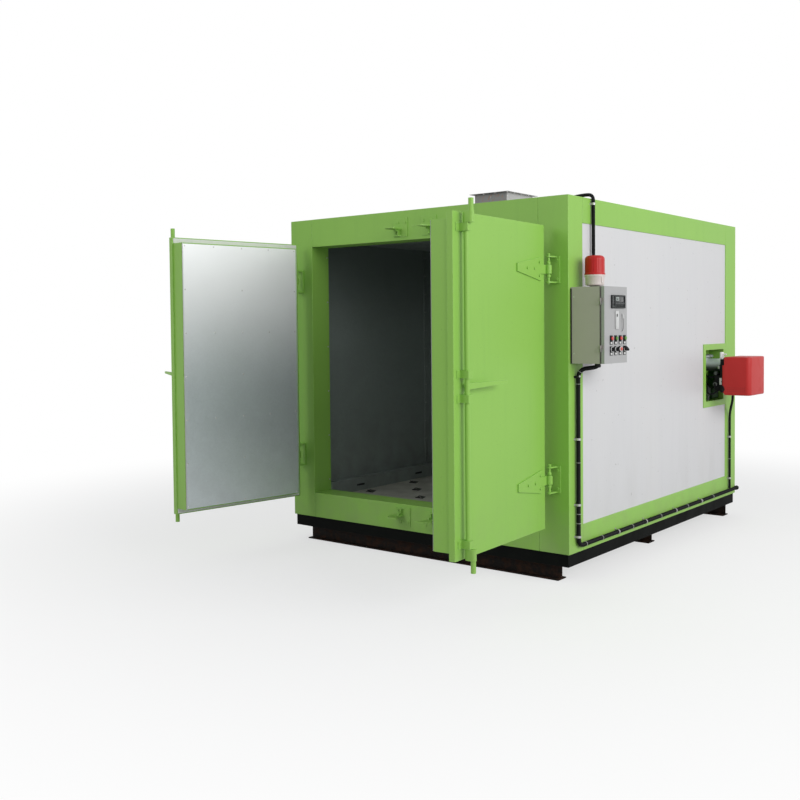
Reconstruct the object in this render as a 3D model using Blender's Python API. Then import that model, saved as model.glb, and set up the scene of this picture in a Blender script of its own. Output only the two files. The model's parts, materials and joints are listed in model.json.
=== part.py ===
"""Curing oven: an insulated batch chamber with two door leaves, a side burner and a control box.

Metres, +Z up, ground at Z = 0. X = 0 is the oven's centre line, Y = 0 its middle, and the doors face -Y.
"""
import math

import bmesh
import bpy
from mathutils import Matrix, Vector

# Clearances
SEAT = 0.0003
RUNNING = 0.005

# Insulated body
BODY_WIDTH = 2.33
BODY_DEPTH = 2.80
BODY_HEIGHT = 2.19
WALL = 0.15
PANEL_RECESS = 0.006
FRONT_POST_DEPTH = 0.18
REAR_POST_DEPTH = 0.215
TOP_RAIL = 0.16
BOTTOM_RAIL = 0.163

# Steel base
SKID_HEIGHT = 0.10
SKID_WIDTH = 0.10
SKID_INSET = 0.10
SKID_REAR_INSET = 0.045
SKID_SETBACK = 0.04
SKID_FLANGE = 0.008
SKID_WEB = 0.007
BASE_HEIGHT = 0.08
BASE_INSET = 0.012
BASE_FLANGE_WIDTH = 0.043
BASE_SHEET = 0.006
JOIST_WIDTH = 0.050
JOIST_PLACES = (-0.65, 0.0, 0.65)

# Doorway
POST_WIDTH = 0.210
LINTEL_HEIGHT = 0.200
OPENING_SILL = 0.180

# Door leaves, closed, measured from the front face
LEAF_TOP_LAP = 0.016
LEAF_BOTTOM_LAP = 0.015
LEAF_MEETING_GAP = 0.008
LEAF_JAMB_LAP = 0.080
SKIN_THICKNESS = 0.036
PLUG_DEPTH = 0.098
PLUG_LAP = 0.040
PLUG_MEETING_LAP = 0.008
LEAF_LINING = 0.003
LEAF_LINING_MARGIN = 0.006
RIGHT_OPEN_DEG = 93.2
LEFT_OPEN_DEG = 98.5

# Hinges
HINGE_FROM_JAMB = 0.107
HINGE_AXIS_OUT = 0.058
HINGE_FROM_BOTTOM = 0.295
HINGE_FROM_TOP = 0.266
HINGE_PLATE_NEAR = 0.019
HINGE_PLATE_FAR = 0.0475
HINGE_PLATE_HEIGHT = 0.165
HINGE_PLATE_THICKNESS = 0.008
HINGE_LUG_THICKNESS = 0.010
HINGE_LUG_RADIUS = 0.019
HINGE_PIN_RADIUS = 0.008
HINGE_COLLAR_RADIUS = 0.013
BARREL_RADIUS = 0.014
BARREL_HEIGHT = 0.057
BARREL_CLEARANCE = 0.0004
STRAP_THICKNESS = 0.008
STRAP_START = 0.082
STRAP_LENGTH = 0.290
STRAP_WIDE = 0.140
STRAP_NARROW = 0.046
STRAP_NECK = 0.054

# Lock rods
ROD_FROM_MIDDLE = 0.085
ROD_STAND_OFF = 0.034
ROD_RADIUS = 0.014
CRANK_THROW = 0.030
CRANK_RADIUS = 0.017
CRANK_HEIGHT = 0.060
STUB_REACH = 0.066
GUIDE_FROM_END = 0.083
GUIDE_FROM_LEVER = 0.065
GUIDE_TALL = 0.042
GUIDE_WALL = 0.006
GUIDE_CLEARANCE = 0.001
GUIDE_FOOT = 0.030
GUIDE_FOOT_THICKNESS = 0.004
LEVER_LENGTH = 0.36
LEVER_DEEP = 0.034
LEVER_TIP = 0.014
LEVER_THICKNESS = 0.012
LEVER_ANGLE_DEG = 6.0
RIGHT_UNLOCK_DEG = 0.0
LEFT_UNLOCK_DEG = 69.0

# Keepers for the lock rods
KEEPER_WIDTH = 0.122
KEEPER_TALL = 0.128
KEEPER_THICKNESS = 0.006
KEEPER_LEAF_GAP = 0.007
KEEPER_SIDE = 0.060
HOOK_THICKNESS = 0.008
HOOK_LEVEL = 0.050
HOOK_BAR = 0.012
HOOK_CLEARANCE = 0.004
FOOT_LEVEL = 0.008
FOOT_REACH = 0.026

# Chamber
LINING = 0.003
AIR_DUCT_WIDTH = 0.070
AIR_DUCT_HEIGHT = 0.100
FLOOR_TOP = 0.130
FLOOR_PLATE = 0.006
SCOOP_WIDTH = 0.080
SCOOP_LENGTH = 0.100
SCOOP_HEIGHT = 0.024
SCOOP_PITCH_X = 0.48
SCOOP_PITCH_Y = 0.27
SCOOP_FRONT_MARGIN = 0.29
SCOOP_SIDE_MARGIN = 0.115

# Roof duct
DUCT_WIDTH = 0.28
DUCT_DEPTH = 0.37
DUCT_FRONT = 0.93
DUCT_RISE = 0.20
DUCT_SHEET = 0.003
DUCT_FLANGE = 0.030

# Burner niche in the right wall
NICHE_WIDTH = 0.458
NICHE_BOTTOM = 0.749
NICHE_TOP = 1.240
NICHE_BORDER = 0.045
NICHE_DEPTH = 0.120
BLAST_TUBE_RADIUS = 0.0485
BLAST_TUBE_FROM_BACK = 0.450
BLAST_TUBE_Z = 1.0765
BLAST_FLANGE_RADIUS = 0.066
BLAST_FLANGE_THICKNESS = 0.010
BURNER_BODY_OUT = 0.075
BURNER_BODY_INSET = 0.018
PUMP_FROM_BODY_FRONT = 0.022
PUMP_WIDTH = 0.100
PUMP_BOTTOM = 0.012
PUMP_TALL = 0.118
PUMP_OUT = 0.050
PUMP_CAP_RADIUS = 0.034
PUMP_CAP = 0.018
COVER_FROM_BACK = 0.215
COVER_WIDTH = 0.340
COVER_BOTTOM = 0.846
COVER_TOP = 1.142
COVER_OUT = 0.105
COVER_DEPTH = 0.212

# Control box on the right side
BOX_FRONT = 0.025
BOX_BACK = 0.325
BOX_BOTTOM = 1.170
BOX_TOP = 1.632
BOX_DEPTH = 0.200
BOX_SHEET = 0.003
BOX_DOOR = 0.020
KNUCKLE_RADIUS = 0.005
KNUCKLE_LENGTH = 0.040
CONTROLLER_WIDTH = 0.180
CONTROLLER_TALL = 0.080
CONTROLLER_PROUD = 0.010
CONTROLLER_FROM_BACK = 0.037
CONTROLLER_FROM_TOP = 0.051
BUTTON_PITCH = 0.059
BUTTONS_FROM_BACK = 0.007
BUTTON_RADIUS = 0.013
BEACON_RADIUS = 0.0625
BEACON_BASE_RADIUS = 0.056
BEACON_FOOT_RADIUS = 0.030
BEACON_FOOT_HEIGHT = 0.009
BEACON_BASE_HEIGHT = 0.074
BEACON_DOME_HEIGHT = 0.117
BEACON_RIM = 0.003
BEACON_Y = 0.150
BEACON_OUT = 0.0985

# Conduits
MAIN_CONDUIT_RADIUS = 0.014
THIN_CONDUIT_RADIUS = 0.010
CONDUIT_STAND_OFF = 0.004
CONDUIT_BEND = 0.055
BEND_STEPS = 5
CLIP_WIDTH = 0.014
CLIP_REACH = 0.010
CLIP_BITE = 0.004
ROOF_EXIT_HEIGHT = 0.090
ROOF_EXIT_REACH = 0.100
ROOF_EXIT_FALL = 0.060
ROOF_EXIT_BACK = 0.120
ROOF_BEND_IN = 0.365
ROOF_BEND_BACK = 0.750
ROOF_EDGE_IN = 0.160
ROOF_EDGE_NEAR = 0.050
ROOF_EDGE_OVER = 0.035
ROOF_EDGE_DOWN = 0.060
ROOF_CLIP_IN = 0.090
DROP_FROM_BOX_BACK = 0.030
MAIN_RUN_BACK = 0.085
MAIN_RUN_HEIGHT = 0.045
MAIN_RUN_END = 0.012
MAIN_EXIT_BACK = 0.165
MAIN_EXIT_OUT = 0.090
MAIN_EXIT_DROP = 0.026
MAIN_EXIT_FALL = 0.038
MAIN_CLIP_FALLS = (0.084, 0.466, 0.870, 1.067)
MAIN_CLIP_SHARES = (0.22, 0.37, 0.55, 0.72)
BURNER_EXIT_FROM_BACK = 0.300
BURNER_EXIT_OUT = 0.090
BURNER_EXIT_DROP = 0.070
BURNER_EXIT_FALL = 0.190
BURNER_DROP_FROM_BACK = 0.160
BURNER_CLIP_HEIGHTS = (0.481, 0.142)

# Bolts
BOLT_RADIUS = 0.009
BOLT_HEAD = 0.006

# Places that follow from the sizes above
SIDE = BODY_WIDTH / 2
INNER = SIDE - WALL
FRONT = -BODY_DEPTH / 2
BACK = BODY_DEPTH / 2
BODY_Z = SKID_HEIGHT + BASE_HEIGHT
TOP = BODY_Z + BODY_HEIGHT
CEILING = TOP - WALL
OPEN_HALF = SIDE - POST_WIDTH
OPENING_TOP = BODY_HEIGHT - LINTEL_HEIGHT
CHAMBER_FRONT = FRONT + FRONT_POST_DEPTH
CHAMBER_BACK = BACK - WALL
REAR_POST_FRONT = BACK - REAR_POST_DEPTH
PANEL_BOTTOM = BODY_Z + BOTTOM_RAIL
PANEL_TOP = TOP - TOP_RAIL
HINGE_X = OPEN_HALF + HINGE_FROM_JAMB
HINGE_Y = FRONT - HINGE_AXIS_OUT
LEAF_FACE = RUNNING + SKIN_THICKNESS
LEAF_EDGE = OPEN_HALF + LEAF_JAMB_LAP
LEAF_MEETING = LEAF_MEETING_GAP / 2
LEAF_TOP = OPENING_TOP + LEAF_TOP_LAP
LEAF_BOTTOM = OPENING_SILL - LEAF_BOTTOM_LAP
LEVER_HEIGHT = (LEAF_TOP + LEAF_BOTTOM) / 2
HINGE_HEIGHTS = {"lower": LEAF_BOTTOM + HINGE_FROM_BOTTOM, "upper": LEAF_TOP - HINGE_FROM_TOP}
GUIDE_HEIGHTS = (LEAF_BOTTOM + GUIDE_FROM_END, LEVER_HEIGHT - GUIDE_FROM_LEVER,
                 LEVER_HEIGHT + GUIDE_FROM_LEVER, LEAF_TOP - GUIDE_FROM_END)
ROD_Y = FRONT - LEAF_FACE - ROD_STAND_OFF


def material(name, colour, roughness, metallic=0.0):
    """Make a Principled material."""
    made = bpy.data.materials.new(name)
    made.use_nodes = True
    shader = made.node_tree.nodes["Principled BSDF"]
    shader.inputs["Base Color"].default_value = (*colour, 1.0)
    shader.inputs["Roughness"].default_value = roughness
    shader.inputs["Metallic"].default_value = metallic
    return made


def from_bmesh(name, shape, finish, parent):
    """Turn a bmesh into an object, with its faces pointing out."""
    bmesh.ops.recalc_face_normals(shape, faces=shape.faces)
    mesh = bpy.data.meshes.new(name)
    shape.to_mesh(mesh)
    shape.free()
    made = bpy.data.objects.new(name, mesh)
    made.data.materials.append(finish)
    made.parent = parent
    bpy.context.scene.collection.objects.link(made)
    return made


def slab(name, low, high, finish, parent=None, bevel=0.0):
    """Make a block between two corners, in the parent's frame."""
    low, high = [Vector(map(pick, zip(low, high))) for pick in (min, max)]
    shape = bmesh.new()
    bmesh.ops.create_cube(shape, size=1.0)
    bmesh.ops.scale(shape, vec=high - low, verts=shape.verts)
    if bevel:
        bmesh.ops.bevel(shape, geom=shape.edges, offset=bevel, segments=2, profile=0.5, affect="EDGES")
    made = from_bmesh(name, shape, finish, parent)
    made.location = (low + high) / 2
    return made


def prism(name, outline, axis, low, high, finish, parent=None):
    """Extrude a closed outline along an axis. The outline lies in the other two, in X, Y, Z order."""
    first, second = [number for number in range(3) if number != axis]
    shape = bmesh.new()
    corners = []
    for across, along in outline:
        place = Vector((0.0, 0.0, 0.0))
        place[first], place[second], place[axis] = across, along, low
        corners.append(shape.verts.new(place))
    face = shape.faces.new(corners)
    grown = bmesh.ops.extrude_face_region(shape, geom=[face])
    moved = [item for item in grown["geom"] if isinstance(item, bmesh.types.BMVert)]
    step = Vector((0.0, 0.0, 0.0))
    step[axis] = high - low
    bmesh.ops.translate(shape, vec=step, verts=moved)
    return from_bmesh(name, shape, finish, parent)


def turned(name, profile, axis, centre, finish, parent=None, sides=24):
    """Turn a profile of (radius, height) points about an axis through a centre."""
    shape = bmesh.new()
    turn = {0: Matrix.Rotation(math.pi / 2, 3, "Y"), 1: Matrix.Rotation(-math.pi / 2, 3, "X")}
    rings = []
    for radius, height in profile:
        ring = []
        for step in range(sides):
            angle = 2 * math.pi * step / sides
            place = Vector((radius * math.cos(angle), radius * math.sin(angle), height))
            ring.append(shape.verts.new(turn.get(axis, Matrix.Identity(3)) @ place))
        rings.append(ring)
    for ring, following in zip(rings, rings[1:]):
        for step in range(sides):
            after = (step + 1) % sides
            shape.faces.new((ring[step], ring[after], following[after], following[step]))
    shape.faces.new(rings[0])
    shape.faces.new(rings[-1])
    made = from_bmesh(name, shape, finish, parent)
    made.location = centre
    made.data.shade_smooth()
    made.data.set_sharp_from_angle(angle=math.radians(35))
    return made


def combine(body, tools, operation="UNION"):
    """Join pieces to a body, or cut them from it, and keep the result as its mesh."""
    bpy.context.view_layer.update()
    for tool in tools:
        boolean = body.modifiers.new("Cut", "BOOLEAN")
        boolean.operation = operation
        boolean.object = tool
    graph = bpy.context.evaluated_depsgraph_get()
    mesh = bpy.data.meshes.new_from_object(body.evaluated_get(graph))
    body.modifiers.clear()
    body.data = mesh
    for tool in tools:
        bpy.data.objects.remove(tool)
    return body


def hinge_empty(name, place, turn, parent=None):
    """Make an empty on a vertical joint axis, turned to the rest pose."""
    made = bpy.data.objects.new(name, None)
    made.location = place
    made.rotation_euler.z = turn
    made.parent = parent
    bpy.context.scene.collection.objects.link(made)
    return made


def arc(centre, radius, start_deg, end_deg, steps):
    """Points of an arc in a plane."""
    turns = [math.radians(start_deg + (end_deg - start_deg) * step / steps) for step in range(steps + 1)]
    return [(centre[0] + radius * math.cos(turn), centre[1] + radius * math.sin(turn)) for turn in turns]


def bolt_heads(places, axis, finish, parent=None, way=1.0):
    """Make hexagon bolt heads that stand out of a plate along an axis, sunk a little for joining."""
    sunk = 0.001
    profile = [(BOLT_RADIUS, -sunk * way), (BOLT_RADIUS, BOLT_HEAD * way)]
    return [turned("bolt", profile, axis, place, finish, parent, sides=6) for place in places]


def eased(route, bend):
    """Round a route's corners, so that a conduit bends but never leaves the hull of its points."""
    points = [Vector(point) for point in route]
    smooth = [points[0]]
    for before, corner, after in zip(points, points[1:], points[2:]):
        into = (before - corner) * min(bend / (before - corner).length, 0.45)
        away = (after - corner) * min(bend / (after - corner).length, 0.45)
        for step in range(BEND_STEPS + 1):
            t = step / BEND_STEPS
            smooth.append(corner + into * (1 - t) ** 2 + away * t ** 2)
    smooth.append(points[-1])
    return smooth


def conduit(name, route, radius, clips, finish):
    """Lay a flexible conduit along a route, in saddle clips that seat on what carries it."""
    smooth = eased(route, CONDUIT_BEND)
    curve = bpy.data.curves.new(name, "CURVE")
    curve.dimensions = "3D"
    curve.bevel_depth = radius
    curve.bevel_resolution = 2
    curve.use_fill_caps = True
    spline = curve.splines.new("POLY")
    spline.points.add(len(smooth) - 1)
    for point, place in zip(spline.points, smooth):
        point.co = (*place, 1.0)
    line = bpy.data.objects.new(name + "_line", curve)
    bpy.context.scene.collection.objects.link(line)
    graph = bpy.context.evaluated_depsgraph_get()
    mesh = bpy.data.meshes.new_from_object(line.evaluated_get(graph))
    bpy.data.objects.remove(line)
    mesh.name = name
    mesh.materials.clear()
    mesh.materials.append(finish)
    made = bpy.data.objects.new(name, mesh)
    bpy.context.scene.collection.objects.link(made)
    saddles = [slab("clip", low, high, finish) for low, high in clips]
    return combine(made, saddles) if saddles else made


def side_clip(radius, y, z, upright=True):
    """Corners of a clip that seats on the right side's trim and reaches round a conduit."""
    across, along = radius + CLIP_REACH, CLIP_WIDTH / 2
    span_y, span_z = (across, along) if upright else (along, across)
    return ((SIDE + SEAT, y - span_y, z - span_z), (SIDE + SEAT + CONDUIT_STAND_OFF + CLIP_BITE, y + span_y, z + span_z))


def make_base(black, rust):
    """Cross runners of I section under a ring of channel."""
    half = SKID_WIDTH / 2
    web = SKID_WEB / 2
    low, high = SKID_FLANGE, SKID_HEIGHT - SKID_FLANGE
    section = [(-half, 0.0), (half, 0.0), (half, low), (web, low), (web, high), (half, high),
               (half, SKID_HEIGHT), (-half, SKID_HEIGHT), (-half, high), (-web, high), (-web, low), (-half, low)]
    end = BODY_DEPTH / 2 - SKID_SETBACK - half
    runners = (("skid_front", -end, SKID_INSET), ("skid_middle", 0.0, SKID_INSET), ("skid_rear", end, SKID_REAR_INSET))
    for name, middle, inset in runners:
        prism(name, [(y + middle, z) for y, z in section], 0, inset - SIDE, SIDE - inset, rust)
    low_z, high_z = SKID_HEIGHT + SEAT, BODY_Z - SEAT
    across, along = SIDE - BASE_INSET, BODY_DEPTH / 2 - BASE_INSET
    frame = slab("base_frame", (-across, -along, low_z), (across, along, high_z), black)
    inner_x, inner_y = across - BASE_SHEET, along - BASE_SHEET
    groove = slab("groove", (-inner_x, -inner_y, low_z + BASE_SHEET), (inner_x, inner_y, high_z - BASE_SHEET), black)
    lip_x, lip_y = across - BASE_FLANGE_WIDTH, along - BASE_FLANGE_WIDTH
    hole = slab("hole", (-lip_x, -lip_y, low_z - WALL), (lip_x, lip_y, high_z + WALL), black)
    combine(frame, [groove, hole], "DIFFERENCE")
    half = JOIST_WIDTH / 2
    joists = [slab("joist", (-inner_x, y - half, low_z), (inner_x, y + half, high_z), black) for y in JOIST_PLACES]
    combine(frame, joists)


def make_portal(green):
    """The doorway's posts, lintel and sill."""
    back = CHAMBER_FRONT - SEAT
    for name, side in (("front_post_right", 1), ("front_post_left", -1)):
        slab(name, (side * OPEN_HALF, FRONT, BODY_Z), (side * SIDE, back, TOP), green)
    inner = OPEN_HALF - SEAT
    slab("front_lintel", (-inner, FRONT, BODY_Z + OPENING_TOP), (inner, back, TOP), green)
    slab("front_sill", (-inner, FRONT, BODY_Z), (inner, back, BODY_Z + OPENING_SILL), green)


def make_frame(green):
    """The rear posts and the edge rails round the side and back panels."""
    for name, side in (("right", 1), ("left", -1)):
        slab("rear_post_" + name, (side * INNER, REAR_POST_FRONT, BODY_Z), (side * SIDE, BACK, TOP), green)
        front, back = CHAMBER_FRONT, REAR_POST_FRONT - SEAT
        slab("top_rail_" + name, (side * INNER, front, PANEL_TOP), (side * SIDE, back, TOP), green)
        slab("bottom_rail_" + name, (side * INNER, front, BODY_Z), (side * SIDE, back, PANEL_BOTTOM), green)
    inner = INNER - SEAT
    slab("back_top_rail", (-inner, CHAMBER_BACK, PANEL_TOP), (inner, BACK, TOP), green)
    slab("back_bottom_rail", (-inner, CHAMBER_BACK, BODY_Z), (inner, BACK, PANEL_BOTTOM), green)


def make_walls(white, green):
    """Insulated side, back and roof panels, the right one split round the burner niche."""
    low, high = PANEL_BOTTOM + SEAT, PANEL_TOP - SEAT
    front, back = CHAMBER_FRONT, REAR_POST_FRONT - SEAT
    skin = SIDE - PANEL_RECESS
    slab("wall_left", (-INNER, front, low), (-skin, back, high), white)
    niche_front = REAR_POST_FRONT - NICHE_WIDTH
    niche_low, niche_high = BODY_Z + NICHE_BOTTOM, BODY_Z + NICHE_TOP
    slab("wall_right", (INNER, front, low), (skin, niche_front - SEAT, high), white)
    slab("wall_right_over_niche", (INNER, niche_front, niche_high + SEAT), (skin, back, high), white)
    slab("wall_right_under_niche", (INNER, niche_front, low), (skin, back, niche_low - SEAT), white)
    niche = slab("burner_niche", (INNER, niche_front, niche_low), (SIDE, back, niche_high), green)
    recess = slab("recess", (SIDE - NICHE_DEPTH, niche_front + NICHE_BORDER, niche_low + NICHE_BORDER),
                  (SIDE + NICHE_DEPTH, back - NICHE_BORDER, niche_high - NICHE_BORDER), green)
    combine(niche, [recess], "DIFFERENCE")
    inner = INNER - SEAT
    slab("wall_back", (-inner, CHAMBER_BACK, low), (inner, BACK - PANEL_RECESS, high), white)
    roof = slab("roof", (-inner, CHAMBER_FRONT, CEILING), (inner, CHAMBER_BACK - SEAT, TOP - PANEL_RECESS), white)
    half = DUCT_WIDTH / 2 + SEAT
    near = FRONT + DUCT_FRONT - SEAT
    far = FRONT + DUCT_FRONT + DUCT_DEPTH + SEAT
    hole = slab("hole", (-half, near, CEILING - WALL), (half, far, TOP + WALL), white)
    combine(roof, [hole], "DIFFERENCE")


def make_roof_duct(galvanised):
    """A rectangular duct stub through the roof, with a seating flange and an open top flange."""
    half = DUCT_WIDTH / 2
    near, far = FRONT + DUCT_FRONT, FRONT + DUCT_FRONT + DUCT_DEPTH
    seat, top = TOP - PANEL_RECESS + SEAT, TOP + DUCT_RISE
    duct = slab("roof_duct", (-half, near, CEILING), (half, far, top), galvanised)
    out = DUCT_FLANGE
    flanges = [slab("flange", (-half - out, near - out, level), (half + out, far + out, level + DUCT_SHEET), galvanised)
               for level in (seat, top - DUCT_SHEET)]
    combine(duct, flanges)
    bore = slab("bore", (-half + DUCT_SHEET, near + DUCT_SHEET, CEILING - WALL),
                (half - DUCT_SHEET, far - DUCT_SHEET, TOP + DUCT_RISE + WALL), galvanised)
    combine(duct, [bore], "DIFFERENCE")


def make_chamber(galvanised):
    """Floor, wall linings with an air duct along each side, and the floor plate with its scoops."""
    inner = INNER - SEAT
    front, back = CHAMBER_FRONT + SEAT, CHAMBER_BACK - SEAT
    floor_top = BODY_Z + FLOOR_TOP
    plate_low = floor_top - FLOOR_PLATE
    slab("floor_panel", (-inner, front, BODY_Z), (inner, back, plate_low - SEAT), galvanised)
    for name, side in (("right", 1), ("left", -1)):
        outline = [(side * x, z) for x, z in (
            (inner, plate_low), (inner - AIR_DUCT_WIDTH, plate_low),
            (inner - AIR_DUCT_WIDTH, floor_top + AIR_DUCT_HEIGHT), (inner - LINING, floor_top + AIR_DUCT_HEIGHT),
            (inner - LINING, CEILING - SEAT), (inner, CEILING - SEAT))]
        prism("lining_" + name, outline, 1, front, back, galvanised)
    lined = inner - LINING - SEAT
    ducted = inner - AIR_DUCT_WIDTH - SEAT
    outline = [(-ducted, plate_low), (ducted, plate_low), (ducted, floor_top + AIR_DUCT_HEIGHT + SEAT),
               (lined, floor_top + AIR_DUCT_HEIGHT + SEAT), (lined, CEILING - SEAT), (-lined, CEILING - SEAT),
               (-lined, floor_top + AIR_DUCT_HEIGHT + SEAT), (-ducted, floor_top + AIR_DUCT_HEIGHT + SEAT)]
    prism("lining_back", outline, 1, back - LINING, back, galvanised)
    plate_back = back - LINING - SEAT
    plate = slab("floor_plate", (-ducted, front, plate_low), (ducted, plate_back, floor_top), galvanised)
    scoops = []
    rows = int((plate_back - front - SCOOP_FRONT_MARGIN) / SCOOP_PITCH_Y)
    for row in range(rows):
        y = front + SCOOP_FRONT_MARGIN + row * SCOOP_PITCH_Y
        x = -ducted + SCOOP_SIDE_MARGIN + (row % 2) * SCOOP_PITCH_X / 2
        while x < ducted - SCOOP_SIDE_MARGIN / 2:
            scoops.append(make_scoop(x, y, floor_top, galvanised))
            x += SCOOP_PITCH_X
    combine(plate, scoops)


def make_scoop(x, y, floor, galvanised):
    """One pressed floor scoop: a low wedge whose ridge runs down to the plate."""
    half, sunk = SCOOP_WIDTH / 2, 0.002
    shape = bmesh.new()
    front = [shape.verts.new(point) for point in (
        (x - half, y, floor - sunk), (x + half, y, floor - sunk), (x, y, floor + SCOOP_HEIGHT))]
    tail = shape.verts.new((x, y + SCOOP_LENGTH, floor - sunk))
    shape.faces.new(front)
    shape.faces.new((front[0], front[1], tail))
    shape.faces.new((front[1], front[2], tail))
    shape.faces.new((front[2], front[0], tail))
    return from_bmesh("scoop", shape, galvanised, None)


def make_hinge_bracket(name, side, height, green):
    """A bolted plate on the front post with two lugs that hold a fixed pin."""
    x, z = side * HINGE_X, BODY_Z + height
    tall = HINGE_PLATE_HEIGHT / 2
    face = FRONT - SEAT
    outer = face - HINGE_PLATE_THICKNESS
    near, far = x - side * HINGE_PLATE_NEAR, x + side * HINGE_PLATE_FAR
    plate = slab(name, (near, outer, z - tall), (far, face, z + tall), green)
    centre = (x, HINGE_Y)
    outline = arc(centre, HINGE_LUG_RADIUS, 180, 360, 12)
    heels = (near + side * 0.001, x + side * HINGE_PLATE_FAR * 0.6)
    outline += [(max(heels), face - 0.002), (min(heels), face - 0.002)]
    pieces = []
    for low in (z - tall, z + tall - HINGE_LUG_THICKNESS):
        pieces.append(prism("lug", outline, 2, low + 0.001, low + HINGE_LUG_THICKNESS - 0.001, green))
    pin, collar = HINGE_PIN_RADIUS, HINGE_COLLAR_RADIUS
    seat = BARREL_HEIGHT / 2 + 0.0005
    reach = tall + 0.006
    dome = 0.004
    profile = [(pin, -reach), (pin, -tall + 0.02)]
    for way in (-1, 1):
        ring = [(collar * 0.75, seat), (collar, seat + 0.005), (collar, seat + 0.014), (collar * 0.75, seat + 0.020)]
        ring = ring if way > 0 else [(radius, -level) for radius, level in reversed(ring)]
        profile += ([(pin, -seat - 0.0201)] if way < 0 else [(pin, seat - 0.0001)]) + ring
        profile += [(pin, -seat + 0.0001)] if way < 0 else [(pin, seat + 0.0201)]
    profile += [(pin, reach), (pin + 0.004, reach + 0.0001), (pin + 0.004, reach + dome), (pin, reach + 2 * dome)]
    pieces.append(turned("pin", profile, 2, (x, HINGE_Y, z), green, sides=20))
    bolt_x, bolt_z = HINGE_PLATE_FAR - 0.016, tall - 0.026
    places = [(x + side * bolt_x, outer, z + way * bolt_z) for way in (-1, 1)]
    pieces += bolt_heads(places, 1, green, way=-1.0)
    return combine(plate, pieces)


def make_strap(name, side, height, pivot, green):
    """A tapered strap on the leaf, with a neck and a barrel that turns on the bracket's pin."""
    z = BODY_Z + height
    inner = HINGE_AXIS_OUT - LEAF_FACE - SEAT
    outer = inner - STRAP_THICKNESS
    start, end = STRAP_START, STRAP_START + STRAP_LENGTH
    wide, narrow, neck = STRAP_WIDE / 2, STRAP_NARROW / 2, STRAP_NECK / 2
    outline = [(0.0, -neck), (start, -neck), (start, -wide), (end, -narrow),
               (end, narrow), (start, wide), (start, neck), (0.0, neck)]
    outline = [(-side * along, z + up) for along, up in outline]
    strap = prism(name, outline, 1, outer, inner, green, pivot)
    tube = BARREL_HEIGHT / 2
    barrel = turned("barrel", [(BARREL_RADIUS, -tube), (BARREL_RADIUS, tube)], 2, (0.0, 0.0, z), green, pivot, 20)
    places = [(-side * (start + along), outer, z + up) for along, up in (
        (0.020, 0.040), (0.020, -0.040), (0.082, 0.0), (0.172, 0.0))]
    combine(strap, [barrel] + bolt_heads(places, 1, green, pivot, way=-1.0))
    bore_radius = HINGE_PIN_RADIUS + BARREL_CLEARANCE
    bore = turned("bore", [(bore_radius, -WALL), (bore_radius, WALL)], 2, (0.0, 0.0, z), green, pivot, 20)
    return combine(strap, [bore], "DIFFERENCE")


def make_leaf(name, side, pivot, green, galvanised):
    """A door leaf: an outer skin that laps the frame, an insulated plug, rod guides and an inner sheet."""
    def place(x, out, z):
        """A point given in the closed leaf: distance from the middle, out of the front face, and height."""
        return (-side * (HINGE_X - x), HINGE_AXIS_OUT - out, BODY_Z + z)

    skin = slab("door_" + name, place(LEAF_MEETING, RUNNING, LEAF_BOTTOM), place(LEAF_EDGE, LEAF_FACE, LEAF_TOP),
                green, pivot)
    near = LEAF_MEETING + PLUG_MEETING_LAP
    far = LEAF_EDGE - LEAF_JAMB_LAP - 0.012
    low, high = LEAF_BOTTOM + PLUG_LAP, LEAF_TOP - PLUG_LAP
    plug = slab("plug", place(near, RUNNING + 0.002, low), place(far, -PLUG_DEPTH, high), green, pivot)
    pieces = [plug]
    for height in GUIDE_HEIGHTS:
        pieces += make_guide(height, place, green, pivot)
    combine(skin, pieces)
    bore_radius = ROD_RADIUS + GUIDE_CLEARANCE
    x, y, _ = place(ROD_FROM_MIDDLE, LEAF_FACE + ROD_STAND_OFF, 0.0)
    bores = [turned("bore", [(bore_radius, -GUIDE_TALL), (bore_radius, GUIDE_TALL)], 2, (x, y, BODY_Z + height),
                    green, pivot) for height in GUIDE_HEIGHTS]
    combine(skin, bores, "DIFFERENCE")
    margin = LEAF_LINING_MARGIN
    slab("door_lining_" + name, place(near + margin, -PLUG_DEPTH - SEAT, low + margin),
         place(far - margin, -PLUG_DEPTH - LEAF_LINING, high - margin), galvanised, pivot)
    return skin


def make_guide(height, place, green, pivot):
    """A rod guide: a block on two feet that the lock rod passes through."""
    half = GUIDE_TALL / 2
    radius = ROD_RADIUS + GUIDE_CLEARANCE + GUIDE_WALL
    sunk = 0.001
    block = slab("guide", place(ROD_FROM_MIDDLE - radius, LEAF_FACE - sunk, height - half),
                 place(ROD_FROM_MIDDLE + radius, LEAF_FACE + ROD_STAND_OFF + radius, height + half), green, pivot)
    foot = slab("foot", place(ROD_FROM_MIDDLE - radius - GUIDE_FOOT, LEAF_FACE - sunk, height - half),
                place(ROD_FROM_MIDDLE + radius + GUIDE_FOOT, LEAF_FACE + GUIDE_FOOT_THICKNESS, height + half),
                green, pivot)
    return [block, foot]


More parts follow.
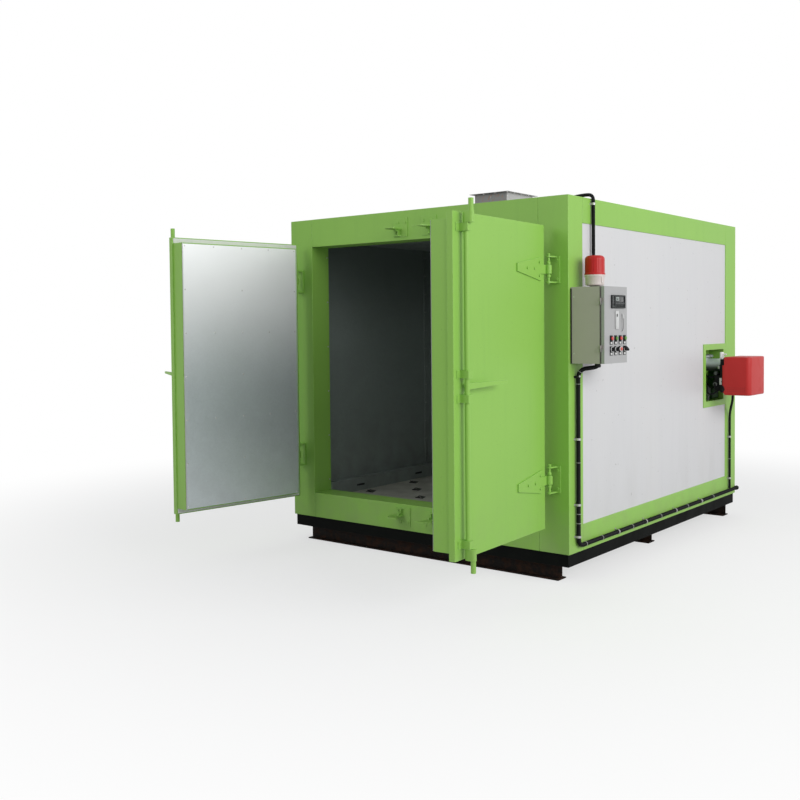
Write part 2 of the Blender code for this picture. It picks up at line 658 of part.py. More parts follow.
def make_rod(name, side, pivot, green):
    """A lock rod with a crank and stub at each end and a lever in the middle."""
    low, high = BODY_Z + LEAF_BOTTOM, BODY_Z + LEAF_TOP
    rod = turned(name, [(ROD_RADIUS, low + 0.001), (ROD_RADIUS, high - 0.001)], 2, (0.0, 0.0, 0.0), green, pivot)
    pieces = []
    outline = arc((0.0, 0.0), CRANK_RADIUS, 0, 180, 10) + arc((0.0, -CRANK_THROW), CRANK_RADIUS, 180, 360, 10)
    for base, tip in ((low, low - STUB_REACH), (high, high + STUB_REACH)):
        inner = base + math.copysign(CRANK_HEIGHT, base - tip)
        pieces.append(prism("crank", outline, 2, min(base, inner), max(base, inner), green, pivot))
        ends = sorted((inner + 0.01 * math.copysign(1, base - inner), tip))
        pieces.append(turned("stub", [(ROD_RADIUS, ends[0]), (ROD_RADIUS, ends[1])], 2, (0.0, -CRANK_THROW, 0.0),
                             green, pivot))
    middle = BODY_Z + LEVER_HEIGHT
    deep, tip = LEVER_DEEP / 2, LEVER_TIP / 2
    outline = [(0.0, middle - deep), (LEVER_LENGTH, middle + deep - 2 * tip), (LEVER_LENGTH, middle + deep),
               (0.0, middle + deep)]
    outline = [(side * along, up) for along, up in outline]
    lever = prism("lever", outline, 1, -LEVER_THICKNESS / 2, LEVER_THICKNESS / 2, green, pivot)
    lever.rotation_euler.z = -side * math.radians(LEVER_ANGLE_DEG)
    pieces.append(lever)
    return combine(rod, pieces)


def make_keeper(name, side, way, green):
    """A bolted plate with a hook that the rod's stub turns behind; way is +1 over the leaf, -1 below it."""
    start = BODY_Z + (LEAF_TOP if way > 0 else LEAF_BOTTOM) + way * KEEPER_LEAF_GAP
    face = FRONT - SEAT
    outer = face - KEEPER_THICKNESS
    plate = slab(name, (side * KEEPER_SIDE, outer, start),
                 (side * (KEEPER_SIDE + KEEPER_WIDTH), face, start + way * KEEPER_TALL), green)
    rod_x = ROD_FROM_MIDDLE
    stub_out = ROD_Y - CRANK_THROW - ROD_RADIUS - HOOK_CLEARANCE
    tip = rod_x - ROD_RADIUS + 0.003
    root = rod_x + ROD_RADIUS + 0.012
    edge = KEEPER_SIDE + KEEPER_WIDTH
    slope = 0.030
    outline = [(root, face - 0.002), (root, stub_out + 0.010), (root - 0.010, stub_out), (tip, stub_out),
               (tip + 0.004, stub_out - HOOK_BAR), (edge - slope, stub_out - HOOK_BAR),
               (edge, stub_out + slope), (edge, face - 0.002)]
    level = start + way * HOOK_LEVEL
    hook = prism("hook", [(side * x, y) for x, y in outline], 2, level, level + way * HOOK_THICKNESS, green)
    foot = start + way * FOOT_LEVEL
    rib_out = face - FOOT_REACH
    rise = [(face - 0.002, level + way * 0.002), (rib_out - 0.026, level + way * 0.002),
            (rib_out - 0.022, level - way * 0.009), (rib_out, level - way * 0.014), (rib_out, foot), (face - 0.002, foot)]
    rib = prism("rib", rise, 0, side * (root + 0.014), side * (root + 0.014 + HOOK_THICKNESS), green)
    heel = [(root + 0.002, face - 0.002), (root + 0.012, rib_out), (edge - 0.018, rib_out), (edge - 0.001, face - 0.002)]
    shelf = prism("shelf", [(side * x, y) for x, y in heel], 2, foot - way * 0.003, foot + way * 0.003, green)
    near, far = KEEPER_SIDE + 0.018, KEEPER_SIDE + 0.078
    places = [(side * x, outer, start + way * (KEEPER_TALL - 0.030)) for x in (near, far)]
    places.append((side * (edge - 0.022), outer, start + way * 0.030))
    return combine(plate, [hook, rib, shelf] + bolt_heads(places, 1, green, way=-1.0))


def make_doors(green, galvanised):
    """Both leaves, open as they stand, with hinges, lock rods and keepers."""
    open_turns = {"right": RIGHT_OPEN_DEG, "left": LEFT_OPEN_DEG}
    unlock_turns = {"right": RIGHT_UNLOCK_DEG, "left": LEFT_UNLOCK_DEG}
    for name, side in (("right", 1), ("left", -1)):
        turn = side * math.radians(open_turns[name])
        pivot = hinge_empty("hinge_axis_" + name, (side * HINGE_X, HINGE_Y, 0.0), turn)
        make_leaf(name, side, pivot, green, galvanised)
        for level, height in HINGE_HEIGHTS.items():
            make_hinge_bracket(f"hinge_bracket_{name}_{level}", side, height, green)
            make_strap(f"hinge_strap_{name}_{level}", side, height, pivot, green)
        rod_place = (-side * (HINGE_X - ROD_FROM_MIDDLE), HINGE_AXIS_OUT - LEAF_FACE - ROD_STAND_OFF, 0.0)
        rod_turn = -side * math.radians(unlock_turns[name])
        rod_pivot = hinge_empty("rod_axis_" + name, rod_place, rod_turn, pivot)
        make_rod("lock_rod_" + name, side, rod_pivot, green)
        make_keeper(f"keeper_{name}_upper", side, 1, green)
        make_keeper(f"keeper_{name}_lower", side, -1, green)


def make_burner(silver, black, red):
    """The blast tube in the niche, the burner's housing and its red cover."""
    y, z = BACK - BLAST_TUBE_FROM_BACK, BODY_Z + BLAST_TUBE_Z
    inner = SIDE - NICHE_DEPTH + SEAT
    housing = SIDE + BURNER_BODY_OUT
    reach = housing - inner - SEAT
    profile = [(BLAST_FLANGE_RADIUS, 0.0), (BLAST_FLANGE_RADIUS, BLAST_FLANGE_THICKNESS),
               (BLAST_TUBE_RADIUS, BLAST_FLANGE_THICKNESS), (BLAST_TUBE_RADIUS, reach)]
    turned("blast_tube", profile, 0, (inner, y, z), silver, sides=32)
    cover_in = SIDE + COVER_OUT
    back = BACK - COVER_FROM_BACK
    front = back - COVER_WIDTH
    low, high = BODY_Z + COVER_BOTTOM, BODY_Z + COVER_TOP
    rim = BURNER_BODY_INSET
    body = slab("burner_body", (housing, front + rim, low + rim), (cover_in - SEAT, back - rim, high - rim), black,
                bevel=0.008)
    near = front + rim + PUMP_FROM_BODY_FRONT
    foot = low + rim + PUMP_BOTTOM
    pump = slab("pump", (housing - PUMP_OUT, near, foot), (housing + 0.002, near + PUMP_WIDTH, foot + PUMP_TALL), black)
    cap_in = housing - PUMP_OUT - PUMP_CAP
    cap = turned("cap", [(PUMP_CAP_RADIUS, 0.0), (PUMP_CAP_RADIUS, PUMP_CAP + 0.002)], 0,
                 (cap_in, near + PUMP_WIDTH / 2, foot + PUMP_TALL / 2), black, sides=24)
    combine(body, [pump, cap])
    slab("burner_cover", (cover_in, front, low), (cover_in + COVER_DEPTH, back, high), red, bevel=0.012)


def make_control_box(grey, pale, black, white, red):
    """A hollow wall box with a hinged door, its controls and a beacon on top."""
    front, back = FRONT + BOX_FRONT, FRONT + BOX_BACK
    low, high = BODY_Z + BOX_BOTTOM, BODY_Z + BOX_TOP
    wall_side = SIDE + SEAT
    face = SIDE + BOX_DEPTH
    box = slab("control_box", (wall_side, front, low), (face, back, high), grey)
    sheet = BOX_SHEET
    hollow = slab("hollow", (wall_side + sheet, front + sheet, low + sheet), (face + WALL, back - sheet, high - sheet),
                  grey)
    combine(box, [hollow], "DIFFERENCE")
    axis = (face + RUNNING / 2, front - KNUCKLE_RADIUS - 0.001)
    pivot = hinge_empty("control_door_axis", (*axis, 0.0), 0.0)
    door = slab("control_box_door", (RUNNING / 2, front - axis[1], low), (RUNNING / 2 + BOX_DOOR, back - axis[1], high),
                pale, pivot)
    tray = slab("tray", (-RUNNING, front - axis[1] + sheet, low + sheet),
                (RUNNING / 2 + BOX_DOOR - sheet, back - axis[1] - sheet, high - sheet), pale, pivot)
    combine(door, [tray], "DIFFERENCE")
    box_pieces, door_pieces = [], []
    for centre in (low + 0.09, high - 0.09):
        lower = [(KNUCKLE_RADIUS, -KNUCKLE_LENGTH / 2), (KNUCKLE_RADIUS, -SEAT / 2)]
        upper = [(KNUCKLE_RADIUS, SEAT / 2), (KNUCKLE_RADIUS, KNUCKLE_LENGTH / 2)]
        box_pieces.append(turned("knuckle", lower, 2, (*axis, centre), grey, sides=12))
        box_pieces.append(slab("leaf", (axis[0] - 0.03, axis[1] + 0.002, centre - KNUCKLE_LENGTH / 2),
                               (axis[0], front + 0.001, centre - SEAT / 2), grey))
        door_pieces.append(turned("knuckle", upper, 2, (0.0, 0.0, centre), pale, pivot, 12))
        door_pieces.append(slab("leaf", (0.0, 0.002, centre + SEAT / 2),
                                (RUNNING / 2 + BOX_DOOR - 0.004, front - axis[1] + 0.001, centre + KNUCKLE_LENGTH / 2),
                                pale, pivot))
    combine(box, box_pieces)
    combine(door, door_pieces)
    skin = RUNNING / 2 + BOX_DOOR + SEAT
    right = back - axis[1]
    end, upper = right - CONTROLLER_FROM_BACK, high - CONTROLLER_FROM_TOP
    slab("temperature_controller", (skin, end - CONTROLLER_WIDTH, upper - CONTROLLER_TALL),
         (skin + CONTROLLER_PROUD, end, upper), black, pivot, bevel=0.002)
    make_buttons(skin, right, low, white, pivot)
    make_beacon(high, white, red)
    return pivot


def make_buttons(skin, right, low, white, pivot):
    """Two label plates on one backing strip, with four push buttons over four selector knobs."""
    backing = 0.003
    span = 4 * BUTTON_PITCH
    first = right - BUTTONS_FROM_BACK - span
    plate = slab("push_buttons", (skin, first, low + 0.045), (skin + backing, first + span, low + 0.175), white, pivot)
    pieces = []
    for row, reach in enumerate((0.024, 0.016)):
        for column in range(4):
            y = first + BUTTON_PITCH * (column + 0.5)
            z = low + 0.085 + 0.065 * row
            profile = [(BUTTON_RADIUS + 0.003, backing - 0.001), (BUTTON_RADIUS + 0.003, backing + 0.005),
                       (BUTTON_RADIUS, backing + 0.006), (BUTTON_RADIUS, reach), (BUTTON_RADIUS - 0.002, reach + 0.001)]
            pieces.append(turned("button", profile, 0, (skin, y, z), white, pivot, 16))
    combine(plate, pieces)


def make_beacon(box_top, white, red):
    """A round base with a ribbed collar, and a red dome on it."""
    centre = (SIDE + BEACON_OUT, FRONT + BEACON_Y, box_top + SEAT)
    radius = BEACON_BASE_RADIUS
    foot = BEACON_FOOT_HEIGHT
    profile = [(BEACON_FOOT_RADIUS, 0.0), (BEACON_FOOT_RADIUS, foot), (radius - 0.004, foot + 0.001),
               (radius, foot + 0.007), (radius + 0.002, BEACON_BASE_HEIGHT - 0.012),
               (BEACON_RADIUS, BEACON_BASE_HEIGHT - 0.008), (BEACON_RADIUS, BEACON_BASE_HEIGHT)]
    turned("beacon_base", profile, 2, centre, white, sides=32)
    top = (centre[0], centre[1], centre[2] + BEACON_BASE_HEIGHT + SEAT)
    rounding = 0.022
    dome = BEACON_RADIUS - BEACON_RIM
    profile = [(BEACON_RADIUS, 0.0), (BEACON_RADIUS, 0.010), (dome, 0.013)]
    profile += arc((dome - rounding, BEACON_DOME_HEIGHT - rounding), rounding, 0, 88, 6)
    profile.append((0.001, BEACON_DOME_HEIGHT))
    turned("beacon_dome", profile, 2, top, red, sides=32)


def make_conduits(black):
    """Flexible conduits clipped to the body: roof to box, box to the rear, and burner to the lower run."""
    thin, main = THIN_CONDUIT_RADIUS, MAIN_CONDUIT_RADIUS
    wall = SIDE + SEAT + CONDUIT_STAND_OFF + thin
    roof = TOP + SEAT + CONDUIT_STAND_OFF + thin
    drop = FRONT + BOX_BACK - DROP_FROM_BOX_BACK
    exit_x, exit_y, exit_z = DUCT_WIDTH / 2 + SEAT, FRONT + DUCT_FRONT + ROOF_EXIT_BACK, TOP + ROOF_EXIT_HEIGHT
    route = [(exit_x, exit_y, exit_z), (exit_x + ROOF_EXIT_REACH, exit_y, exit_z),
             (exit_x + ROOF_EXIT_REACH + ROOF_EXIT_FALL, exit_y, roof),
             (SIDE - ROOF_BEND_IN, FRONT + ROOF_BEND_BACK, roof), (SIDE - ROOF_EDGE_IN, drop, roof),
             (SIDE - ROOF_EDGE_NEAR, drop, roof), (SIDE + ROOF_EDGE_OVER, drop, TOP + ROOF_EDGE_OVER),
             (wall, drop, TOP - ROOF_EDGE_DOWN), (wall, drop, BODY_Z + BOX_TOP + 2 * SEAT)]
    clip_x, across = SIDE - ROOF_CLIP_IN, thin + CLIP_REACH
    clips = [side_clip(thin, drop, TOP - ROOF_CLIP_IN),
             ((clip_x, drop - across, TOP + SEAT),
              (clip_x + CLIP_WIDTH, drop + across, TOP + SEAT + CONDUIT_STAND_OFF + CLIP_BITE))]
    conduit("conduit_roof", route, thin, clips, black)
    side = SIDE + SEAT + CONDUIT_STAND_OFF + main
    post, low = FRONT + MAIN_RUN_BACK, BODY_Z + MAIN_RUN_HEIGHT
    box_low = BODY_Z + BOX_BOTTOM - SEAT
    exit_x, exit_y = side + MAIN_EXIT_OUT, FRONT + MAIN_EXIT_BACK
    route = [(exit_x, exit_y, box_low), (exit_x, exit_y, box_low - MAIN_EXIT_DROP),
             (side, post, box_low - MAIN_EXIT_FALL), (side, post, low), (side, BACK - MAIN_RUN_END, low)]
    clips = [side_clip(main, post, box_low - fall) for fall in MAIN_CLIP_FALLS]
    clips += [side_clip(main, FRONT + share * BODY_DEPTH, low, upright=False) for share in MAIN_CLIP_SHARES]
    conduit("conduit_main", route, main, clips, black)
    body_low = BODY_Z + COVER_BOTTOM + BURNER_BODY_INSET - SEAT
    exit_x, exit_y = SIDE + BURNER_EXIT_OUT, BACK - BURNER_EXIT_FROM_BACK
    rear = BACK - BURNER_DROP_FROM_BACK
    route = [(exit_x, exit_y, body_low), (exit_x, exit_y, body_low - BURNER_EXIT_DROP),
             (wall, rear, body_low - BURNER_EXIT_FALL), (wall, rear, low + main + SEAT)]
    clips = [side_clip(thin, rear, BODY_Z + height) for height in BURNER_CLIP_HEIGHTS]
    conduit("conduit_burner", route, thin, clips, black)


def build():
    """Clear the scene and build the oven."""
    for old in list(bpy.data.objects):
        bpy.data.objects.remove(old)
    green = material("green_paint", (0.235, 0.480, 0.115), 0.42)
    white = material("white_panel", (0.800, 0.805, 0.810), 0.45)
    galvanised = material("galvanised_sheet", (0.560, 0.590, 0.620), 0.38, 0.85)
    black = material("black_paint", (0.010, 0.011, 0.012), 0.50)
    rust = material("runner_steel", (0.045, 0.024, 0.014), 0.62)
    silver = material("burner_steel", (0.60, 0.60, 0.60), 0.30, 0.9)
    red = material("red_cover", (0.400, 0.025, 0.025), 0.35)
    grey = material("box_grey", (0.300, 0.310, 0.260), 0.45)
    pale = material("box_door_grey", (0.520, 0.520, 0.520), 0.45)
    cream = material("cream_plastic", (0.640, 0.600, 0.520), 0.45)
    lens = material("red_lens", (0.620, 0.030, 0.030), 0.20)
    hose = material("black_conduit", (0.012, 0.012, 0.013), 0.55)
    make_base(black, rust)
    make_portal(green)
    make_frame(green)
    make_walls(white, green)
    make_roof_duct(galvanised)
    make_chamber(galvanised)
    make_doors(green, galvanised)
    make_burner(silver, black, red)
    make_control_box(grey, pale, black, cream, lens)
    make_conduits(hose)


build()
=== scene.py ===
"""Curing oven: the dressed model, built round its CAD frame.

Metres, +Z up, ground at Z = 0, doors facing -Y. Pieces are made in place, in the frame's own coordinates.
"""
import json
import math

import bmesh
import bpy
from mathutils import Matrix, Vector

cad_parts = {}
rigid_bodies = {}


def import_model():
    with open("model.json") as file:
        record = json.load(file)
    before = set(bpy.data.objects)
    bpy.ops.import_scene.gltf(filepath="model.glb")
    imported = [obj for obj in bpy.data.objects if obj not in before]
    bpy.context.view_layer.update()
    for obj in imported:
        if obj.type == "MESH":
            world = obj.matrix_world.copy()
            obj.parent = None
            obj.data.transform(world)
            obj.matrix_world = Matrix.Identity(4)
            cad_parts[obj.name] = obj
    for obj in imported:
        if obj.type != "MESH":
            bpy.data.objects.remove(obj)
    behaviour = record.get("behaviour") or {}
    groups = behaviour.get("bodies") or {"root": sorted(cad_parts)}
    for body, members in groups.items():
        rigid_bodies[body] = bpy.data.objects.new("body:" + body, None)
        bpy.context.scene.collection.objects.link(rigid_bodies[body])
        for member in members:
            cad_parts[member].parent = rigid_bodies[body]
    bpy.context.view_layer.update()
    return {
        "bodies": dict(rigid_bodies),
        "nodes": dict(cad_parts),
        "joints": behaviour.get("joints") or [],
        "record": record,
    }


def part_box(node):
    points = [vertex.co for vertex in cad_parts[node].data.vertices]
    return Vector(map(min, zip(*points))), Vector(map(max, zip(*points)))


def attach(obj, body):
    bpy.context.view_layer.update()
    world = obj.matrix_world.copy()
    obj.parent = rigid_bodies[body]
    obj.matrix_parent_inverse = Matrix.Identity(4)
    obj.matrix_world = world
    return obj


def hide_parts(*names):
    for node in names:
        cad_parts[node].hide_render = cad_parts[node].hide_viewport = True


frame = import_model()
NODES = frame["nodes"]

# The oven's main places, as the frame has them
POST_LOW, POST_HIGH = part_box("front_post_right")
SIDE, FRONT, BODY_LOW, TOP = POST_HIGH.x, POST_LOW.y, POST_LOW.z, POST_HIGH.z
OPEN_HALF = POST_LOW.x
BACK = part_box("rear_post_right")[1].y
CHAMBER_FRONT = POST_HIGH.y

# The leaves' hinges, and how many degrees each leaf stands open at rest
SIDES = {"right": 1, "left": -1}
LEAF_OPEN = {"right": 93.2, "left": 98.5}
HINGE_X, HINGE_OUT = OPEN_HALF + 0.107, 0.058

# A leaf: heights above the body's foot, widths from the meeting line, depths out of its closed front face
LEAF_LOW, LEAF_TOP, LEAF_EDGE, LEAF_LAP = 0.165, 2.006, OPEN_HALF + 0.08, 0.005
PLUG_NEAR, PLUG_FAR, PLUG_BACK, PLUG_LAP = 0.012, OPEN_HALF - 0.012, -0.098, 0.04

# The air ducts' top, the control box's front, and how far a hose stands off a wall beside its seat
AIR_DUCT_TOP = BODY_LOW + 0.23
BOX_FRONT = FRONT + 0.025
SEAT, HOSE_OFF = 0.0003, 0.004

# Sockets of a Mix node that mixes colours, and a stretch that changes nothing
MIX_FACTOR, MIX_FIRST, MIX_SECOND, MIX_RESULT = 0, 6, 7, 2
EVEN = (1.0, 1.0, 1.0)


class Value:
    """A socket that takes part in sums, each of which adds a Math node."""

    def __init__(self, finish, socket):
        self.finish = finish
        self.socket = socket

    def __add__(self, other):
        return self.finish.sum("ADD", self, other)

    def __sub__(self, other):
        return self.finish.sum("SUBTRACT", self, other)

    def __mul__(self, other):
        return self.finish.sum("MULTIPLY", self, other)

    def __radd__(self, other):
        return self.finish.sum("ADD", other, self)

    def __rsub__(self, other):
        return self.finish.sum("SUBTRACT", other, self)

    def fade(self, low, high):
        """0 below low and 1 above high, smooth between; the other way round where low is above high."""
        if low > high:
            return 1.0 - self.fade(high, low)
        values = {"Value": self, "From Min": low, "From Max": high}
        return self.finish.node("ShaderNodeMapRange", {"interpolation_type": "SMOOTHSTEP"}, values)


class Finish:
    """A Principled material and the nodes that feed it."""

    def __init__(self, name, colour, roughness, metallic=0.0, **plain):
        self.material = bpy.data.materials.new(name)
        self.material.use_nodes = True
        self.tree = self.material.node_tree
        self.shader = self.tree.nodes["Principled BSDF"]
        self.set("Base Color", (*colour, 1.0))
        self.set("Roughness", roughness)
        self.set("Metallic", metallic)
        for socket, value in plain.items():
            self.set(socket.replace("_", " "), value)
        self.colour = (*colour, 1.0)
        self.bumps = None

    def feed(self, socket, value):
        """Link a value to a socket, or write it there."""
        if isinstance(value, Value):
            self.tree.links.new(value.socket, socket)
        else:
            socket.default_value = value

    def set(self, socket, value):
        """Give one of the shader's sockets its value."""
        self.feed(self.shader.inputs[socket], value)

    def node(self, kind, settings=None, values=None, out=0):
        """Any node, with its settings and the values or links of its sockets."""
        made = self.tree.nodes.new(kind)
        for name, value in (settings or {}).items():
            setattr(made, name, value)
        for name, value in (values or {}).items():
            self.feed(made.inputs[name], value)
        return Value(self, made.outputs[out])

    def sum(self, operation, *items):
        """One Math node over values or plain numbers."""
        made = self.tree.nodes.new("ShaderNodeMath")
        made.operation = operation
        for place, item in zip(made.inputs, items):
            self.feed(place, item)
        return Value(self, made.outputs[0])

    def place(self, stretch=EVEN):
        """Where a point is on the object, in metres, stretched along each axis."""
        where = self.node("ShaderNodeTexCoord", out="Object")
        if stretch == EVEN:
            return where
        return self.node("ShaderNodeVectorMath", {"operation": "MULTIPLY"}, {0: where, 1: stretch})

    def axis(self, name):
        """One coordinate of the place."""
        return self.node("ShaderNodeSeparateXYZ", values={"Vector": self.place()}, out=name)

    def facing(self):
        """The way that the surface looks, without its bumps."""
        return self.node("ShaderNodeNewGeometry", out="Normal")

    def noise(self, scale, detail=2.0, stretch=EVEN, roughness=0.5):
        """Soft noise from 0 to 1, with so many lumps to the metre."""
        values = {"Vector": self.place(stretch), "Scale": scale, "Detail": detail, "Roughness": roughness}
        return self.node("ShaderNodeTexNoise", None, values)

    def cells(self, scale):
        """A random number for each cell, with so many cells to the metre."""
        cell = self.node("ShaderNodeTexVoronoi", None, {"Vector": self.place(), "Scale": scale}, out="Color")
        return self.node("ShaderNodeSeparateColor", values={"Color": cell})

    def mix(self, factor, first, second):
        """A colour between two."""
        made = self.tree.nodes.new("ShaderNodeMix")
        made.data_type = "RGBA"
        self.feed(made.inputs[MIX_FACTOR], factor)
        for number, value in ((MIX_FIRST, first), (MIX_SECOND, second)):
            self.feed(made.inputs[number], value if isinstance(value, Value) else (*value[:3], 1.0))
        return Value(self, made.outputs[MIX_RESULT])

    def tint(self, factor, colour):
        """Lay a colour over the base colour by a factor, and keep the result as the base."""
        self.colour = self.mix(factor, self.colour, colour)
        self.set("Base Color", self.colour)

    def bump(self, height, depth, strength=1.0):
        """Raise the surface by a height from 0 to 1 times a depth in metres."""
        values = {"Height": height, "Distance": depth, "Strength": strength}
        if self.bumps is not None:
            values["Normal"] = self.bumps
        self.bumps = self.node("ShaderNodeBump", None, values)
        self.set("Normal", self.bumps)

    def worn_edge(self, reach=0.004):
        """1 along the edges and 0 on the flats."""
        rounded = self.node("ShaderNodeBevel", {"samples": 4}, {"Radius": reach})
        values = {0: rounded, 1: self.facing()}
        likeness = self.node("ShaderNodeVectorMath", {"operation": "DOT_PRODUCT"}, values, out="Value")
        return likeness.fade(0.998, 0.9)


def green_coat():
    """Sprayed apple green, with a little peel, waviness in the sheet, dust low down and pale worn edges."""
    made = Finish("green_coat", (0.268, 0.525, 0.088), 0.42, Specular_IOR_Level=0.35)
    cloud = made.noise(1.7, 3.0)
    made.tint(cloud.fade(0.35, 0.75) * 0.35, (0.3, 0.56, 0.105))
    streak = made.noise(14.0, 3.0, (1.0, 1.0, 0.07))
    made.tint(streak.fade(0.52, 0.78) * 0.16, (0.2, 0.42, 0.085))
    speck = made.noise(95.0, 2.0)
    made.tint(speck.fade(0.69, 0.74) * 0.35, (0.15, 0.26, 0.07))
    dust = made.axis("Z").fade(0.75, 0.12) * made.noise(7.0, 4.0).fade(0.3, 0.8)
    made.tint(dust * 0.3, (0.3, 0.33, 0.21))
    edge = made.worn_edge() * made.noise(38.0, 3.0).fade(0.4, 0.62)
    made.tint(edge * 0.55, (0.47, 0.7, 0.29))
    made.set("Roughness", 0.34 + cloud * 0.12 + dust * 0.22 + streak * 0.06)
    made.bump(made.noise(2.3, 1.0), 0.003, 0.35)
    made.bump(made.noise(330.0, 2.0), 0.00025, 0.3)
    return made


def white_coat(name, across):
    """Coated steel panel with fine upright ribs; across names the axis that the ribs step along."""
    made = Finish(name, (0.655, 0.655, 0.665), 0.36, Specular_IOR_Level=0.35)
    ribs_to_the_metre = 40.0
    rib = made.sum("FRACT", made.axis(across) * ribs_to_the_metre)
    groove = rib.fade(0.0, 0.1) * rib.fade(1.0, 0.9)
    stretch = {"X": (1.0, 0.05, 0.05), "Y": (0.05, 1.0, 0.05)}[across]
    band = made.noise(26.0, 4.0, stretch, 0.65)
    wide = made.noise(2.0, 2.0, stretch)
    made.tint((1.0 - groove) * 0.16, (0.52, 0.52, 0.535))
    made.tint(band.fade(0.45, 0.8) * 0.22, (0.59, 0.59, 0.61))
    made.tint(wide.fade(0.5, 0.8) * 0.3, (0.7, 0.69, 0.68))
    grime = made.axis("Z").fade(1.1, 0.34) * made.noise(5.0, 5.0, (1.0, 1.0, 0.35)).fade(0.4, 0.85)
    made.tint(grime * 0.2, (0.48, 0.47, 0.44))
    mark = made.noise(46.0, 1.0).fade(0.765, 0.78)
    made.tint(mark * 0.4, (0.25, 0.24, 0.23))
    made.set("Roughness", 0.32 + band * 0.12 + grime * 0.2)
    made.bump(groove, 0.0004, 0.5)
    made.bump(made.noise(1.6, 1.0), 0.004, 0.35)
    return made


def zinc(name, colour, roughness, metallic, spangle, dirt):
    """Galvanised sheet: spangle, soft waviness, and a film of dirt low down."""
    made = Finish(name, colour, roughness, metallic)
    flake = made.cells(75.0)
    fine = made.cells(210.0)
    light = tuple(min(1.0, part * 1.22) for part in colour)
    dark = tuple(part * 0.8 for part in colour)
    made.tint(flake * spangle, light)
    made.tint(fine * spangle * 0.6, dark)
    cloud = made.noise(2.6, 4.0)
    made.tint(cloud.fade(0.45, 0.75) * 0.35, dark)
    film = made.axis("Z").fade(1.15, 0.25) * made.noise(6.0, 4.0).fade(0.25, 0.85)
    made.tint(film * dirt, (0.11, 0.1, 0.085))
    made.set("Roughness", roughness - 0.06 + flake * 0.07 + cloud * 0.1 + film * 0.12)
    made.bump(made.noise(2.1, 1.0), 0.006, 0.45)
    made.bump(flake, 0.00012, 0.35)
    return made


def duct_zinc():
    """The roof duct's sheet, with a dull and rusty front face."""
    made = zinc("duct_zinc", (0.5, 0.505, 0.49), 0.48, 0.55, 0.3, 0.0)
    face = FRONT + 0.93
    front = made.axis("Y").fade(face + 0.004, face + 0.001)
    made.tint(front * 0.8, (0.15, 0.152, 0.146))
    rust = made.noise(34.0, 5.0, roughness=0.7).fade(0.52, 0.66)
    made.tint(rust * (0.12 + front * 0.72), (0.33, 0.14, 0.06))
    made.set("Metallic", 0.55 - front * 0.45)
    return made


def door_zinc():
    """The leaves' inner sheet, painted whiter towards the top as painted light from above, and duller there.
    """
    made = zinc("door_zinc", (0.64, 0.695, 0.715), 0.38, 0.7, 0.2, 0.15)
    painted_light_top = made.axis("Z").fade(1.05, 1.95)
    # Painted light: the sheet's upper part is painted almost white, standing in for the light and reflection
    # that it catches from above.
    made.tint(painted_light_top * 0.9, (0.9, 0.91, 0.91))
    made.set("Metallic", 0.62 - painted_light_top * 0.36)
    return made


def tube_steel():
    """The blast tube's turned steel, with painted shade along its underside and a painted highlight along
    its top near the inner end.
    """
    low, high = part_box("blast_tube")
    middle = (low.z + high.z) / 2
    made = bright_steel("tube_steel", (0.74, 0.8, 0.83), 0.27)
    height = made.axis("Z")
    # Painted shade: the underside is painted near black.
    under = height.fade(middle + 0.022, middle - 0.028)
    made.tint(under * 0.93, (0.018, 0.022, 0.018))
    # Painted highlight: the top near the inner end is painted almost white.
    painted_highlight = made.axis("X").fade(low.x + 0.085, low.x + 0.03) * height.fade(middle - 0.005, middle + 0.02)
    made.tint(painted_highlight * 0.85, (0.94, 0.97, 0.98))
    made.set("Metallic", 0.35)
    return made


def chamber_zinc():
    """The chamber's dull lining, with painted shade making it darker under the ceiling."""
    made = zinc("chamber_zinc", (0.3, 0.34, 0.33), 0.46, 0.45, 0.4, 0.45)
    # Painted shade: the lining is painted darker towards the ceiling.
    made.tint(made.axis("Z").fade(1.45, 2.12) * 0.55, (0.085, 0.105, 0.1))
    return made


def floor_zinc():
    """The chamber's floor plate, with painted shade on the scoops' far sides."""
    made = zinc("chamber_floor_zinc", (0.54, 0.535, 0.48), 0.52, 0.5, 0.3, 0.4)
    side = made.node("ShaderNodeSeparateXYZ", values={"Vector": made.facing()}, out="X").fade(0.3, 0.45)
    # Painted shade: faces that turn towards +X are painted near black.
    made.tint(side * 0.9, (0.016, 0.017, 0.014))
    return made


def roof_coat():
    """The roof panel: white coat on top and dull zinc on its underside."""
    made = Finish("roof_panel", (0.655, 0.655, 0.665), 0.38)
    dust = made.noise(3.0, 5.0).fade(0.35, 0.8)
    made.tint(dust * 0.45, (0.43, 0.42, 0.39))
    under = made.axis("Z").fade(TOP - 0.06, TOP - 0.064)
    flake = made.cells(75.0)
    made.tint(under, (0.3, 0.34, 0.33))
    made.tint(under * flake * 0.3, (0.24, 0.27, 0.265))
    made.set("Metallic", under * 0.45)
    made.set("Roughness", 0.36 + dust * 0.25)
    made.bump(made.noise(1.8, 1.0), 0.004, 0.35)
    return made


def black_coat(name, colour, roughness, dust_share):
    """Black paint with dust on it, rubbed to grey along its edges."""
    made = Finish(name, colour, roughness, Specular_IOR_Level=0.04)
    dust = made.noise(9.0, 5.0).fade(0.35, 0.8)
    made.tint(dust * dust_share, (0.034, 0.033, 0.03))
    edge = made.worn_edge() * made.noise(45.0, 3.0).fade(0.38, 0.6)
    made.tint(edge * 0.5, (0.055, 0.053, 0.05))
    made.set("Roughness", roughness + dust * 0.25)
    made.bump(made.noise(160.0, 3.0), 0.0004, 0.35)
    return made


